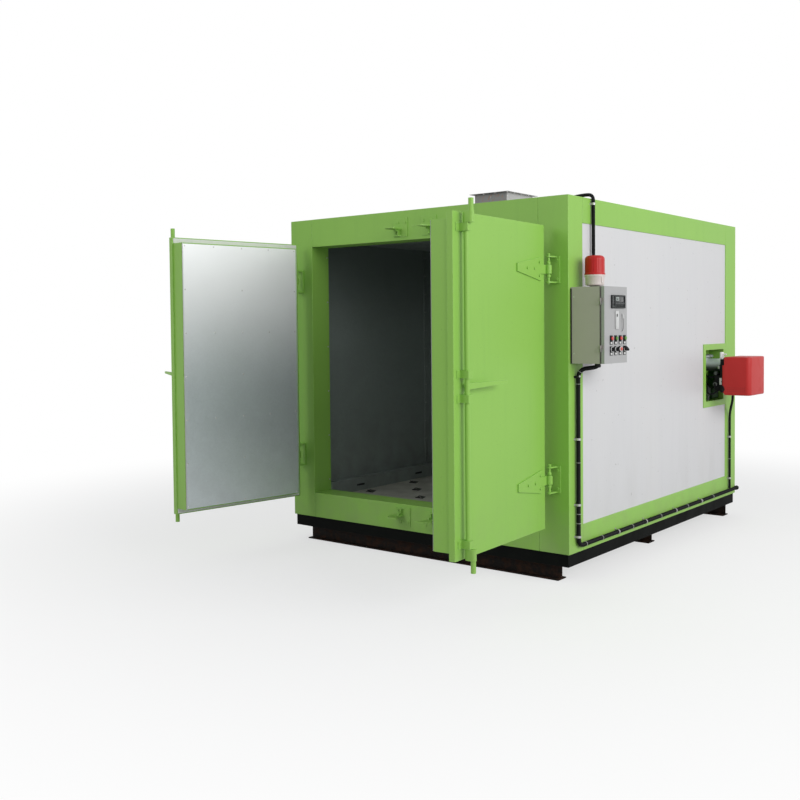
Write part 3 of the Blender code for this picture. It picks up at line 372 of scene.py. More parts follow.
def primer_coat():
    """Brown-black primer on the runners, rusting through in patches."""
    made = Finish("runner_primer", (0.011, 0.009, 0.008), 0.62, Specular_IOR_Level=0.08)
    patch = made.noise(18.0, 6.0, roughness=0.65).fade(0.42, 0.66)
    made.tint(patch * 0.7, (0.06, 0.03, 0.019))
    grit = made.noise(120.0, 3.0).fade(0.48, 0.7)
    made.tint(grit * 0.3, (0.026, 0.023, 0.02))
    made.set("Roughness", 0.55 + patch * 0.3)
    made.bump(patch, 0.0006, 0.6)
    made.bump(grit, 0.0003, 0.4)
    return made


def powder_coat(name, colour, roughness=0.42, texture=0.00022, **plain):
    """Powder coat with its fine orange peel and faint smudges."""
    made = Finish(name, colour, roughness, **plain)
    smudge = made.noise(11.0, 4.0).fade(0.45, 0.8)
    made.tint(smudge * 0.25, tuple(part * 0.86 for part in colour))
    edge = made.worn_edge(0.002) * made.noise(60.0, 2.0).fade(0.42, 0.6)
    made.tint(edge * 0.35, tuple(min(1.0, part * 1.3 + 0.03) for part in colour))
    made.set("Roughness", roughness + smudge * 0.12)
    made.bump(made.noise(520.0, 2.0), texture, 0.5)
    return made


def box_coat():
    """The control box's grey, shaded where its door's hinges stand."""
    made = powder_coat("box_grey", (0.475, 0.428, 0.415))
    ahead = made.axis("Y").fade(BOX_FRONT - 0.0012, BOX_FRONT - 0.002)
    knuckles = ahead * made.axis("X").fade(SIDE + 0.193, SIDE + 0.195)
    made.tint(knuckles * 0.8, (0.13, 0.125, 0.115))
    return made


def box_door_coat():
    """The control box door's paler grey, shaded down its hinge side."""
    made = powder_coat("box_door_grey", (0.385, 0.385, 0.386))
    made.tint(made.axis("Y").fade(BOX_FRONT - 0.0002, BOX_FRONT - 0.0008) * 0.75, (0.29, 0.235, 0.25))
    return made


def moulded(name, colour, roughness=0.45, **plain):
    """Moulded plastic or rubber with a fine grain."""
    made = Finish(name, colour, roughness, **plain)
    cloud = made.noise(24.0, 3.0)
    made.tint(cloud.fade(0.45, 0.75) * 0.25, tuple(part * 0.84 for part in colour))
    made.set("Roughness", roughness + cloud * 0.1)
    made.bump(made.noise(700.0, 2.0), 0.0001, 0.35)
    return made


def bright_steel(name, colour=(0.62, 0.62, 0.61), roughness=0.3):
    """Plated or turned steel with fine wear."""
    made = Finish(name, colour, roughness, 1.0)
    rub = made.noise(140.0, 4.0)
    made.tint(rub.fade(0.5, 0.8) * 0.4, tuple(part * 0.62 for part in colour))
    made.set("Roughness", roughness + rub * 0.18)
    made.bump(made.noise(420.0, 2.0), 0.00006, 0.4)
    return made


GREEN = green_coat()
WHITE_SIDE = white_coat("white_side_panel", "Y")
WHITE_BACK = white_coat("white_back_panel", "X")
ZINC_DOOR = door_zinc()
ZINC_DUCT = duct_zinc()
ROOF_PANEL = roof_coat()
ZINC_DULL = chamber_zinc()
ZINC_FLOOR = floor_zinc()
BLACK = black_coat("base_black", (0.0036, 0.0046, 0.004), 0.55, 0.15)
PRIMER = primer_coat()
BOX_GREY = box_coat()
BOX_PALE = box_door_coat()
CAST_BLACK = black_coat("cast_black", (0.016, 0.016, 0.017), 0.46, 0.22)
# Dark red, painted as the shade inside the burner cover's vent holes.
VENT_SHADE_RED = powder_coat("cover_vent_painted_shade", (0.14, 0.008, 0.008), 0.6)
RED_COVER = powder_coat("cover_red", (0.5, 0.021, 0.019), 0.46, 0.00008, Specular_IOR_Level=0.34)
STEEL = bright_steel("plated_steel")
TUBE_STEEL = tube_steel()
TIE_WHITE = moulded("tie_white", (0.46, 0.46, 0.45), 0.4)
HOSE = moulded("hose_black", (0.0045, 0.005, 0.0055), 0.5, Specular_IOR_Level=0.14)
PLASTIC_BLACK = moulded("plastic_black", (0.009, 0.009, 0.01), 0.42, Specular_IOR_Level=0.22)
CONTROLLER_GREY = moulded("controller_grey", (0.026, 0.029, 0.029), 0.48, Specular_IOR_Level=0.22)
CREAM = moulded("beacon_cream", (0.7, 0.625, 0.6), 0.42)
LENS_RED = moulded("beacon_red", (0.5, 0.013, 0.013), 0.28, Specular_IOR_Level=0.28)
SEAL = moulded("door_seal", (0.78, 0.785, 0.765), 0.75)
# Near black, painted as the shade inside the air slots and the scoops' mouths.
OPENING_SHADE = moulded("opening_painted_shade", (0.006, 0.006, 0.006), 0.85)
LABEL = moulded("blank_label", (0.62, 0.625, 0.615), 0.35)
BUTTON_RED = moulded("button_red", (0.64, 0.045, 0.038), 0.25)
BUTTON_GREEN = moulded("button_green", (0.085, 0.27, 0.025), 0.28)
LAMP_AMBER = moulded("lamp_amber", (0.7, 0.13, 0.105), 0.25)
GLASS_DARK = moulded("display_dark", (0.014, 0.016, 0.017), 0.2, Coat_Weight=0.4)
DISPLAY_PALE = moulded("display_pale", (0.3, 0.34, 0.32), 0.3)
KEY_GREY = moulded("key_grey", (0.08, 0.086, 0.086), 0.5)
PULL_GREY = powder_coat("pull_grey", (0.34, 0.34, 0.34))
BRACKET_WHITE = powder_coat("bracket_white", (0.8, 0.805, 0.79), 0.38, 0.0001)
LOCK_PALE = powder_coat("lock_pale", (0.6, 0.605, 0.6), 0.35, 0.0001)
LENS_DEEP = moulded("beacon_deep_red", (0.26, 0.01, 0.01), 0.26)
CLIP_STEEL = bright_steel("clip_steel", (0.42, 0.42, 0.41), 0.42)
CAST_GREY = black_coat("cast_grey", (0.06, 0.062, 0.064), 0.42, 0.3)
CAST_PALE = moulded("cast_pale", (0.13, 0.14, 0.134), 0.45, Specular_IOR_Level=0.3)
# Dark green, painted as the shade on the burner niche's green wall.
FAN_CASE_SHADE = moulded("fan_case_painted_shade", (0.012, 0.042, 0.008), 0.55, Specular_IOR_Level=0.08)
ZINC_PIPE = zinc("pipe_zinc", (0.42, 0.45, 0.47), 0.36, 0.75, 0.25, 0.2)


def aim(place, along):
    """A matrix that puts local Z along a direction, at a place."""
    return Matrix.Translation(place) @ Vector(along).to_track_quat("Z", "Y").to_matrix().to_4x4()


def circle(radius, height, sides):
    """Points of a ring round local Z."""
    turns = [2 * math.pi * step / sides for step in range(sides)]
    return [(radius * math.cos(turn), radius * math.sin(turn), height) for turn in turns]


def ring_faces(rings, sides, around=False):
    """The quads between rings of points; around joins the last ring to the first."""
    faces = []
    for ring in range(rings if around else rings - 1):
        this, following = ring * sides, (ring + 1) % rings * sides
        for step in range(sides):
            after = (step + 1) % sides
            faces.append([this + step, this + after, following + after, following + step])
    return faces


class Piece:
    """A mesh put together from simple forms, in the frame's metres."""

    def __init__(self, name, *finishes):
        self.name = name
        self.finishes = finishes
        self.points = []
        self.faces = []
        self.tones = []

    def add(self, points, faces, finish=0, where=None):
        """Points and faces of one closed form."""
        start = len(self.points)
        self.points += [where @ Vector(point) if where else Vector(point) for point in points]
        self.faces += [[start + corner for corner in face] for face in faces]
        self.tones += [finish] * len(faces)

    def block(self, low, high, rounding=0.0, finish=0, where=None, segments=2):
        """A block between two corners, with rounded edges."""
        low, high = [Vector(map(pick, zip(low, high))) for pick in (min, max)]
        shape = bmesh.new()
        bmesh.ops.create_cube(shape, size=1.0)
        bmesh.ops.scale(shape, vec=high - low, verts=shape.verts)
        bmesh.ops.translate(shape, vec=(low + high) / 2, verts=shape.verts)
        if rounding:
            bmesh.ops.bevel(shape, geom=shape.edges, offset=rounding, segments=segments, profile=0.5,
                            affect="EDGES")
        self.take(shape, finish, where)

    def take(self, shape, finish=0, where=None):
        """Add a finished bmesh."""
        shape.verts.index_update()
        self.add([v.co.copy() for v in shape.verts], [[v.index for v in f.verts] for f in shape.faces],
                 finish, where)
        shape.free()

    def turned(self, profile, where, sides=32, finish=0):
        """A profile of (radius, height) points turned about local Z."""
        points, faces, rings = [], [], []
        for radius, height in profile:
            ring = circle(radius, height, sides) if radius else [(0.0, 0.0, height)]
            rings.append(list(range(len(points), len(points) + len(ring))))
            points += ring
        for ring, following in zip(rings, rings[1:]):
            for step in range(sides):
                after = (step + 1) % sides
                quad = [ring[step % len(ring)], ring[after % len(ring)],
                        following[after % len(following)], following[step % len(following)]]
                faces.append(list(dict.fromkeys(quad)))
        for ring in (rings[0], rings[-1]):
            if len(ring) > 1:
                faces.append(ring)
        self.add(points, faces, finish, where)

    def run(self, path, radii, sides=12, finish=0):
        """A round tube along a path, with a radius at each point."""
        points, side = [], None
        for number, place in enumerate(path):
            ahead = path[min(number + 1, len(path) - 1)] - path[max(number - 1, 0)]
            ahead.normalize()
            if side is None:
                side = ahead.orthogonal().normalized()
            side = (side - ahead * side.dot(ahead)).normalized()
            up = ahead.cross(side)
            for step in range(sides):
                angle = 2 * math.pi * step / sides
                points.append(place + (side * math.cos(angle) + up * math.sin(angle)) * radii[number])
        self.tube(points, sides, finish)

    def tube(self, points, sides, finish=0, where=None):
        """Rings of points joined into a tube with closed ends."""
        ends = [list(range(sides)), list(range(len(points) - sides, len(points)))]
        self.add(points, ring_faces(len(points) // sides, sides) + ends, finish, where)

    def rivet(self, place, along, radius=0.005, rise=0.0016, finish=0):
        """A low domed rivet head."""
        profile = [(radius, -0.0004), (radius, rise * 0.25), (radius * 0.72, rise * 0.8), (0.0, rise)]
        self.turned(profile, aim(place, along), 10, finish)

    def screw(self, place, along, radius, finish=0):
        """A hexagon head on a washer."""
        where, washer = aim(place, along), radius * 1.45
        self.turned([(washer, 0.0), (washer, radius * 0.2)], where, 18, finish)
        head = [(radius, radius * 0.15), (radius, radius * 0.75), (radius * 0.86, radius * 0.92)]
        self.turned(head, where, 6, finish)

    def done(self, body="root", slot=None, replaces=(), crease=35.0):
        """Make the object, ride its body, and hide the nodes that it stands for; the slot that it is given
        is not used.
        """
        mesh = bpy.data.meshes.new(self.name)
        mesh.from_pydata([tuple(point) for point in self.points], [], self.faces)
        for finish in self.finishes:
            mesh.materials.append(finish.material)
        mesh.polygons.foreach_set("material_index", self.tones)
        shape = bmesh.new()
        shape.from_mesh(mesh)
        bmesh.ops.recalc_face_normals(shape, faces=shape.faces)
        shape.to_mesh(mesh)
        shape.free()
        mesh.shade_smooth()
        mesh.set_sharp_from_angle(angle=math.radians(crease))
        made = bpy.data.objects.new(self.name, mesh)
        bpy.context.scene.collection.objects.link(made)
        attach(made, body)
        if replaces:
            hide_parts(*replaces)
        return made


def leaf_frame(name):
    """Where a leaf stands: from its closed place, turned about its hinge."""
    side = SIDES[name]
    turn = Matrix.Rotation(side * math.radians(LEAF_OPEN[name]), 4, "Z")
    return Matrix.Translation((side * HINGE_X, FRONT - HINGE_OUT, 0.0)) @ turn


def leaf_point(name, across, out, up):
    """A point of a leaf: from the meeting line, out of the closed front face, above the body's foot."""
    return Vector((-SIDES[name] * (HINGE_X - across), HINGE_OUT - out, BODY_LOW + up))


def spaced(start, end, pitch):
    """Even steps between two ends, about a pitch apart."""
    count = max(1, round(abs(end - start) / pitch))
    return [start + (end - start) * step / count for step in range(count + 1)]


def dress_frame():
    """Give each CAD node the finish of its longest matching name, and soften the plain blocks' edges."""
    finishes = {
        ROOF_PANEL: ("roof",),
        GREEN: ("front_", "rear_post", "top_rail", "bottom_rail", "back_top", "back_bottom", "burner_niche",
                "door_left", "door_right", "hinge_", "keeper_", "lock_rod"),
        WHITE_SIDE: ("wall_left", "wall_right"), WHITE_BACK: ("wall_back",),
        ZINC_DUCT: ("roof_duct",), ZINC_DOOR: ("door_lining",),
        ZINC_DULL: ("lining_", "floor_panel"), ZINC_FLOOR: ("floor_plate",),
        BLACK: ("base_frame",), PRIMER: ("skid_",), HOSE: ("conduit_",),
        TUBE_STEEL: ("blast_tube",), CAST_BLACK: ("burner_body",), RED_COVER: ("burner_cover",),
        BOX_GREY: ("control_box",), BOX_PALE: ("control_box_door",),
        PLASTIC_BLACK: ("temperature_controller", "push_buttons"),
        CREAM: ("beacon_base",), LENS_RED: ("beacon_dome",)}
    starts = {start: finish for finish, names in finishes.items() for start in names}
    for name, node in NODES.items():
        start = max((item for item in starts if name.startswith(item)), key=len)
        for place in node.material_slots:
            place.material = starts[start].material
    paired = ("front_post", "rear_post", "top_rail", "bottom_rail", "door_lining")
    folded = [f"{part}_{side}" for part in paired for side in SIDES]
    for name in folded + ["front_lintel", "front_sill", "back_top_rail", "back_bottom_rail"]:
        soften(NODES[name], 0.003)
    runners = ["skid_front", "skid_middle", "skid_rear"]
    for name in runners + ["base_frame", "burner_niche", "control_box", "roof_duct"]:
        soften(NODES[name], 0.0012)


def soften(node, width):
    """Round a node's sharp edges a little."""
    weld = node.modifiers.new("Weld", "WELD")
    weld.merge_threshold = 0.00005
    round_over = node.modifiers.new("Edge", "BEVEL")
    round_over.width = width
    round_over.segments = 2
    round_over.limit_method = "ANGLE"
    round_over.angle_limit = math.radians(50)


def door_seals_and_rivets():
    """A flat braided seal round each leaf's plug, and the rivets and folded rim of its inner sheet; the
    rim's pale colour is a painted highlight along the sheet's edge.
    """
    top, low = LEAF_TOP - PLUG_LAP, LEAF_LOW + PLUG_LAP
    rise, overlap, end = 0.0035, 0.002, LEAF_EDGE - 0.012
    strips = [((PLUG_NEAR, top + overlap), (end, LEAF_TOP - 0.006)),
              ((PLUG_NEAR, LEAF_LOW + 0.006), (end, low - overlap)),
              ((PLUG_FAR + 0.012, low - overlap), (end, top + overlap))]
    margin, row_pitch, column_pitch = 0.02, 0.3, 0.24
    near, far = PLUG_NEAR + margin, PLUG_FAR - margin
    under, over = low + margin, top - margin
    middle, rows = (near + far) / 2, spaced(under, over, row_pitch)
    places = [(x, z) for x in spaced(near, far, column_pitch) for z in (under, over)]
    places += [(x, z) for z in rows[1:-1] for x in (near, far)]
    places += [(middle, z) for z in rows[1:-1]]
    places += [(x, z) for z in rows[2:-1:2] for x in ((near + middle) / 2, (far + middle) / 2)]
    for name in SIDES:
        stand = leaf_frame(name)
        seal = Piece(f"door_seal_{name}", SEAL)
        for (start, foot), (stop, head) in strips:
            seal.block(leaf_point(name, start, LEAF_LAP + 0.0002, foot),
                       leaf_point(name, stop, LEAF_LAP - rise, head), 0.0012, where=stand)
        seal.done(f"{name}_door", "green_paint")
        sheet = Piece(f"door_rivets_{name}", STEEL, LABEL)
        outward = stand.to_3x3() @ Vector((0.0, 1.0, 0.0))
        for x, z in places:
            sheet.rivet(stand @ leaf_point(name, x, PLUG_BACK - 0.003, z), outward, 0.0055, 0.0022)
        # The folded rim is real, and its pale label colour is a painted highlight where the sheet's edge
        # catches light.
        sheet.block(leaf_point(name, PLUG_NEAR + 0.002, PLUG_BACK - 0.0032, low + overlap),
                    leaf_point(name, PLUG_NEAR + 0.0085, PLUG_BACK - 0.005, top - overlap), 0.0005, 1, stand)
        sheet.done(f"{name}_door", "galvanised_sheet")


def hinge_sleeves():
    """The stout sleeve on each strap's barrel, round its pin."""
    bore, radius, half, chamfer, sides = 0.01, 0.02, 0.026, 0.0015, 32
    profile = [(bore, -half), (radius - chamfer, -half), (radius, chamfer - half), (radius, half - chamfer),
               (radius - chamfer, half), (bore, half)]
    points = [point for spread, level in profile for point in circle(spread, level, sides)]
    for name, side in SIDES.items():
        made = Piece(f"hinge_sleeves_{name}", GREEN)
        for height in (LEAF_LOW + 0.295, LEAF_TOP - 0.266):
            where = Matrix.Translation((side * HINGE_X, FRONT - HINGE_OUT, BODY_LOW + height))
            made.add(points, ring_faces(len(profile), sides, around=True), 0, where)
        made.done(f"{name}_door", "green_paint")


def jamb_rivets():
    """Rivets down the back edge of the doorway's reveals, where the chamber's lining starts."""
    made = Piece("jamb_rivets", STEEL)
    y, pitch, radius, rise = CHAMBER_FRONT - 0.016, 0.33, 0.006, 0.002
    for side in SIDES.values():
        for z in spaced(BODY_LOW + 0.26, BODY_LOW + 1.92, pitch):
            made.rivet((side * OPEN_HALF, y, z), (-side, 0, 0), radius, rise)
    for x in spaced(-OPEN_HALF + 0.1, OPEN_HALF - 0.1, pitch):
        made.rivet((x, y, BODY_LOW + 1.99), (0, 0, -1), radius, rise)
    made.done("root", "galvanised_sheet")


def lining_seams():
    """Seam straps with two rows of rivets on the chamber's walls, and joints across its ceiling."""
    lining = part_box("lining_right")[1]
    ceiling, floor, back = lining.z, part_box("floor_plate")[1].z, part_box("lining_back")[0].y
    half, thick, row, clear = 0.018, 0.0022, 0.01, 0.002
    first, pitch = 0.06, 0.15
    seam_y = FRONT + 1.447
    seams = Piece("lining_seams", ZINC_DULL, STEEL)
    for side in SIDES.values():
        face = side * (lining.x - 0.003)
        proud = face - side * thick
        seams.block((face, seam_y - half, AIR_DUCT_TOP + clear),
                    (proud, seam_y + half, ceiling - clear), 0.0006)
        for z in spaced(AIR_DUCT_TOP + first, ceiling - first, pitch):
            for y in (seam_y - row, seam_y + row):
                seams.rivet((proud, y, z), (-side, 0, 0), 0.0032, 0.0014, 1)
    for seam_x in (-0.4, 0.4):
        seams.block((seam_x - half, back - thick, floor + clear),
                    (seam_x + half, back, ceiling - clear), 0.0006)
        for z in spaced(floor + first, ceiling - first, pitch):
            for x in (seam_x - row, seam_x + row):
                seams.rivet((x, back - thick, z), (0, -1, 0), 0.0032, 0.0014, 1)
    under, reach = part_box("roof")[0].z, lining.x - 0.02
    for y in (FRONT + 0.55, FRONT + 1.547, FRONT + 2.05):
        seams.block((-reach, y - half, under - thick), (reach, y + half, under), 0.0006)
    seams.done("root", "galvanised_sheet")


def air_slots():
    """Three lipped slots along the air duct at the foot of each side wall, each a near-black block painted
    as the shade inside it.
    """
    slots = Piece("air_slots", OPENING_SHADE, ZINC_DULL)
    half, first, pitch = 0.045, 0.33, 0.74
    for side in SIDES.values():
        face = side * (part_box("lining_right")[1].x - 0.07)
        for y in (CHAMBER_FRONT + first + pitch * step for step in range(3)):
            # Painted shade: a near-black block stands for the dark inside the slot.
            slots.block((face, y - half, AIR_DUCT_TOP - 0.062),
                        (face - side * 0.0008, y + half, AIR_DUCT_TOP - 0.046))
            slots.block((face, y - half - 0.003, AIR_DUCT_TOP - 0.046),
                        (face - side * 0.005, y + half + 0.003, AIR_DUCT_TOP - 0.043), 0.0008, 1)
    slots.done("root", "galvanised_sheet")


def scoop_mouths():
    """A near-black triangle at the front of each floor scoop, painted as the shade inside its opening."""
    mouths = Piece("scoop_mouths", OPENING_SHADE)
    low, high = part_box("floor_plate")
    front_margin, side_margin, pitch_x, pitch_y = 0.29, 0.115, 0.48, 0.27
    half, tall, foot = 0.036, 0.0215, BODY_LOW + 0.1305
    for row in range(int((high.y - low.y - front_margin) / pitch_y)):
        y = low.y + front_margin + row * pitch_y
        x = low.x + side_margin + row % 2 * pitch_x / 2
        while x < high.x - side_margin / 2:
            # Painted shade: a thin near-black wedge covers the scoop's mouth.
            outline = [(x - half, foot), (x + half, foot), (x, foot + tall)]
            points = [(across, y - out, up) for out in (0.0002, 0.001) for across, up in outline]
            mouths.add(points, [[0, 1, 2], [3, 4, 5], [0, 1, 4, 3], [1, 2, 5, 4], [2, 0, 3, 5]])
            x += pitch_x
    mouths.done("root", "galvanised_sheet")


def smooth_route(route, bend=0.055, steps=8):
    """Round a route's corners with the same bends as the solids have."""
    points = [Vector(point) for point in route]
    smooth = [points[0]]
    for before, corner, after in zip(points, points[1:], points[2:]):
        into = (before - corner) * min(bend / (before - corner).length, 0.45)
        away = (after - corner) * min(bend / (after - corner).length, 0.45)
        for step in range(steps + 1):
            share = step / steps
            smooth.append(corner + into * (1 - share) ** 2 + away * share ** 2)
    smooth.append(points[-1])
    return smooth


def walk(points, pitch):
    """Points at an even pitch along a route."""
    made, left = [points[0].copy()], pitch
    for start, end in zip(points, points[1:]):
        length = (end - start).length
        done = left
        while done <= length:
            made.append(start.lerp(end, done / length))
            done += pitch
        left = done - length
    if (made[-1] - points[-1]).length > pitch * 0.3:
        made.append(points[-1].copy())
    return made


def hose(name, route, radius, ties, node):
    """A corrugated conduit with nylon ties, over the plain one of the frame."""
    made = Piece(name, HOSE, TIE_WHITE)
    path = walk(smooth_route(route), 0.0034)
    depth = min(0.0013, radius * 0.12)
    made.run(path, [radius - (depth if number % 2 else 0.0) for number in range(len(path))])
    band, thick, half = radius + 0.0008, 0.0009, 0.0014
    for tie in ties:
        number = min(range(len(path)), key=lambda step: (path[step] - Vector(tie)).length)
        along = (path[min(number + 2, len(path) - 1)] - path[max(number - 2, 0)]).normalized()
        profile = [(band, -half), (band + thick, 0.0004 - half), (band + thick, half - 0.0004), (band, half)]
        made.turned(profile, aim(path[number], along), 20, 1)
    made.done("root", "conduit_black", (node,))


def conduits():
    """The three conduits over the frame's plain ones, with their saddles, glands and end boot."""
    thin, main = 0.01, 0.014
    wall, run = SIDE + SEAT + HOSE_OFF + thin, SIDE + SEAT + HOSE_OFF + main
    roof = TOP + SEAT + HOSE_OFF + thin
    box_low, box_high = (corner.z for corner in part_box("control_box"))
    drop = FRONT + 0.295
    duct_x, duct_y, duct_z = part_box("roof_duct")[1].x - 0.03, FRONT + 1.05, TOP + 0.09
    route = [(duct_x + SEAT, duct_y, duct_z), (duct_x + SEAT + 0.1, duct_y, duct_z),
             (duct_x + SEAT + 0.16, duct_y, roof), (SIDE - 0.365, FRONT + 0.75, roof),
             (SIDE - 0.17, drop, roof), (SIDE - 0.07, drop, TOP + 0.026), (wall, drop, TOP + 0.025),
             (wall, drop, TOP - 0.06), (wall, drop, box_high + SEAT)]
    hose("roof_hose", route, thin + 0.0015, [(SIDE - 0.5, FRONT + 0.86, roof)], "conduit_roof")
    post, low = FRONT + 0.085, BODY_LOW + 0.045
    exit_x, exit_y = run + 0.09, FRONT + 0.165
    route = [(exit_x, exit_y, box_low - SEAT), (exit_x, exit_y, box_low - 0.026),
             (run, post, box_low - 0.038), (run, post, low), (run, BACK - 0.012, low)]
    ties = [(run, post, z) for z in (1.302, 1.222, 0.74, 0.425, 0.366)]
    ties += [(run, y, low) for y in (-1.226, -1.011, -0.574, -0.119, 0.356, 0.631, 0.859)]
    hose("main_hose", route, main, ties, "conduit_main")
    tail_x, tail_y, tail_z, drop_y = SIDE + 0.09, BACK - 0.3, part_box("burner_body")[0].z, BACK - 0.16
    route = [(tail_x, tail_y, tail_z), (tail_x, tail_y, tail_z - 0.07), (wall, drop_y, tail_z - 0.19),
             (wall, drop_y, low + main + SEAT)]
    hose("burner_hose", route, thin, [(wall, drop_y, 0.48)], "conduit_burner")
    clips = Piece("conduit_clips", CLIP_STEEL)
    for fall in (0.466, 0.87, 1.067):
        saddle(clips, post, box_low - fall, main, True)
    for share in (0.22, 0.37, 0.55, 0.72):
        saddle(clips, FRONT + share * (BACK - FRONT), low, main, False)
    for y, z in ((drop_y, BODY_LOW + 0.481), (drop_y, BODY_LOW + 0.142), (drop, TOP - 0.034)):
        saddle(clips, y, z, thin, True)
    clips.done("root", "burner_steel")
    top_clip = Piece("conduit_top_clip", PLASTIC_BLACK, LABEL)
    saddle(top_clip, post, box_low - 0.084, main, True)
    dot = (run + main + 0.0006, post - 0.007, box_low - 0.0805)
    top_clip.rivet(dot, (1.0, -0.55, 0.1), 0.0068, 0.0042, 1)
    top_clip.done("root", "burner_steel")
    glands = Piece("conduit_glands", PLASTIC_BLACK)
    for place, along, radius in (((exit_x, exit_y, box_low - SEAT), (0, 0, -1), main),
                                 ((wall, drop, box_high), (0, 0, 1), thin),
                                 ((tail_x, tail_y, tail_z), (0, 0, -1), thin),
                                 ((duct_x + 0.003, duct_y, duct_z), (1, 0, 0), thin)):
        where = aim(place, along)
        glands.turned([(radius + 0.007, 0.0), (radius + 0.007, 0.006)], where, 6)
        cap = [(0.004, 0.006), (0.004, 0.012), (0.006, 0.013), (0.006, 0.022), (0.002, 0.027)]
        glands.turned([(radius + spread, level) for spread, level in cap], where, 24)
    boot = [(0.002, 0.0), (0.0038, 0.004), (0.0038, 0.022), (0.001, 0.0245), (0.001, 0.0295)]
    glands.turned([(main + spread, level) for spread, level in boot],
                  aim((run, BACK - 0.03, low), (0, 1, 0)), 24)
    glands.done("root", "conduit_black")


def saddle(made, y, z, radius, upright):
    """A bent steel saddle over a conduit on the side wall, with a screw each side."""
    base, half, thick = SIDE + SEAT, 0.007, 0.0012
    inner, reach, foot = radius + 0.0014, radius + 0.01, 0.0015
    outer, rise = inner + thick, HOSE_OFF + radius
    turns = [math.pi * step / 10 for step in range(11)]
    outline = [(-reach, 0.0), (-inner, 0.0)]
    outline += [(-inner * math.cos(turn), rise + inner * math.sin(turn)) for turn in turns]
    outline += [(inner, 0.0), (reach, 0.0), (reach, foot), (outer, foot)]
    outline += [(outer * math.cos(turn), rise + outer * math.sin(turn)) for turn in turns]
    outline += [(-outer, foot), (-reach, foot)]
    axes = Matrix(((0, 1, 0), (1, 0, 0), (0, 0, 1)) if upright else ((0, 1, 0), (0, 0, 1), (1, 0, 0)))
    count = len(outline)
    points = [Vector((base, y, z)) + axes @ Vector((a, b, c)) for c in (-half, half) for a, b in outline]
    faces = ring_faces(2, count)
    for level in (0, count):
        faces += [[level + step, level + step + 1, level + count - 2 - step, level + count - 1 - step]
                  for step in range(count // 2 - 1)]
    made.add(points, faces)
    for way in (-1, 1):
        spot = Vector((base + foot, y, z)) + axes @ Vector((way * (reach - 0.004), 0.0, 0.0))
        made.turned([(0.0034, 0.0), (0.0034, 0.001), (0.002, 0.0022), (0.0, 0.0024)],
                    aim(spot, (1, 0, 0)), 12)


def control_box_details():
    """The control box's seals against its door, a black strip on the wall as painted shadow of the gap
    there, and its screws and rivets.
    """
    low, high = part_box("control_box")
    low = Vector((low.x, BOX_FRONT, low.z))
    seals_and_shadow_strip = Piece("control_box_seals_and_shadow_strip", PLASTIC_BLACK)
    rim = SIDE + 0.2
    inset, proud = 0.0035, 0.001
    inner = frame_bars((low.y + inset, low.z + inset), (high.y - inset, high.z - inset), 0.006)
    outer = frame_bars((low.y - proud, low.z - proud), (high.y + proud, high.z + proud), 0.004)
    # Painted shadow: the black strip on the wall round the box's foot and sides stands for the shadow in the
    # gap between box and wall.
    wall = frame_bars((low.y - 0.0038, low.z - 0.0016), (high.y + 0.0016, high.z - 0.002), 0.007)[:3]
    for bars, back, face, rounding in ((inner, rim + 0.0002, rim + 0.0032, 0.0),
                                       (outer, rim - 0.0046, rim - 0.0004, 0.0006),
                                       (wall, SIDE + 0.0004, SIDE + 0.0084, 0.0)):
        for (near, under), (far, over) in bars:
            seals_and_shadow_strip.block((back, near, under), (face, far, over), rounding)
    seals_and_shadow_strip.done("root", "controller_black")
    screws = Piece("control_box_screws", STEEL)
    for y in (low.y + 0.05, high.y - 0.05):
        screws.screw((SIDE + 0.03, y, low.z - 0.0002), (0, 0, -1), 0.0045)
    for z in (low.z + 0.06, high.z - 0.06):
        screws.rivet((SIDE + 0.022, low.y, z), (0, -1, 0), 0.0045, 0.002)
    screws.done("root", "box_grey")


def frame_bars(low, high, width):
    """Four bars round a rectangle: bottom, two uprights and top."""
    (left, foot), (right, head) = low, high
    under, over = foot + width, head - width
    return [(low, (right, under)), ((left, under), (left + width, over)),
            ((right - width, under), (right, over)), ((left, over), high)]


# The lit bars of each number: a, g, d across from the top; f, e up the left; b, c up the right
SEGMENTS = {"0": "abcdef", "1": "bc", "3": "abgcd", "8": "abcdefg"}


def digits(made, number, x, y, z, tall, finish):
    """Seven-segment digits on a face that looks along +X, from their lower left corner."""
    wide, bar, pitch = tall * 0.52, tall * 0.13, tall * 0.78
    half, right, edge = tall / 2, wide - bar, bar * 0.1
    bars = {"a": (0, tall - bar, wide, bar), "g": (0, (tall - bar) / 2, wide, bar), "d": (0, 0, wide, bar),
            "f": (0, half, bar, half), "e": (0, 0, bar, half), "b": (right, half, bar, half),
            "c": (right, 0, bar, half)}
    for place, digit in enumerate(number):
        left = y + place * pitch
        for name in SEGMENTS[digit]:
            near, under, across, up = bars[name]
            made.block((x, left + near + edge, z + under + edge),
                       (x + 0.0005, left + near + across - edge, z + under + up - edge), 0.0, finish)


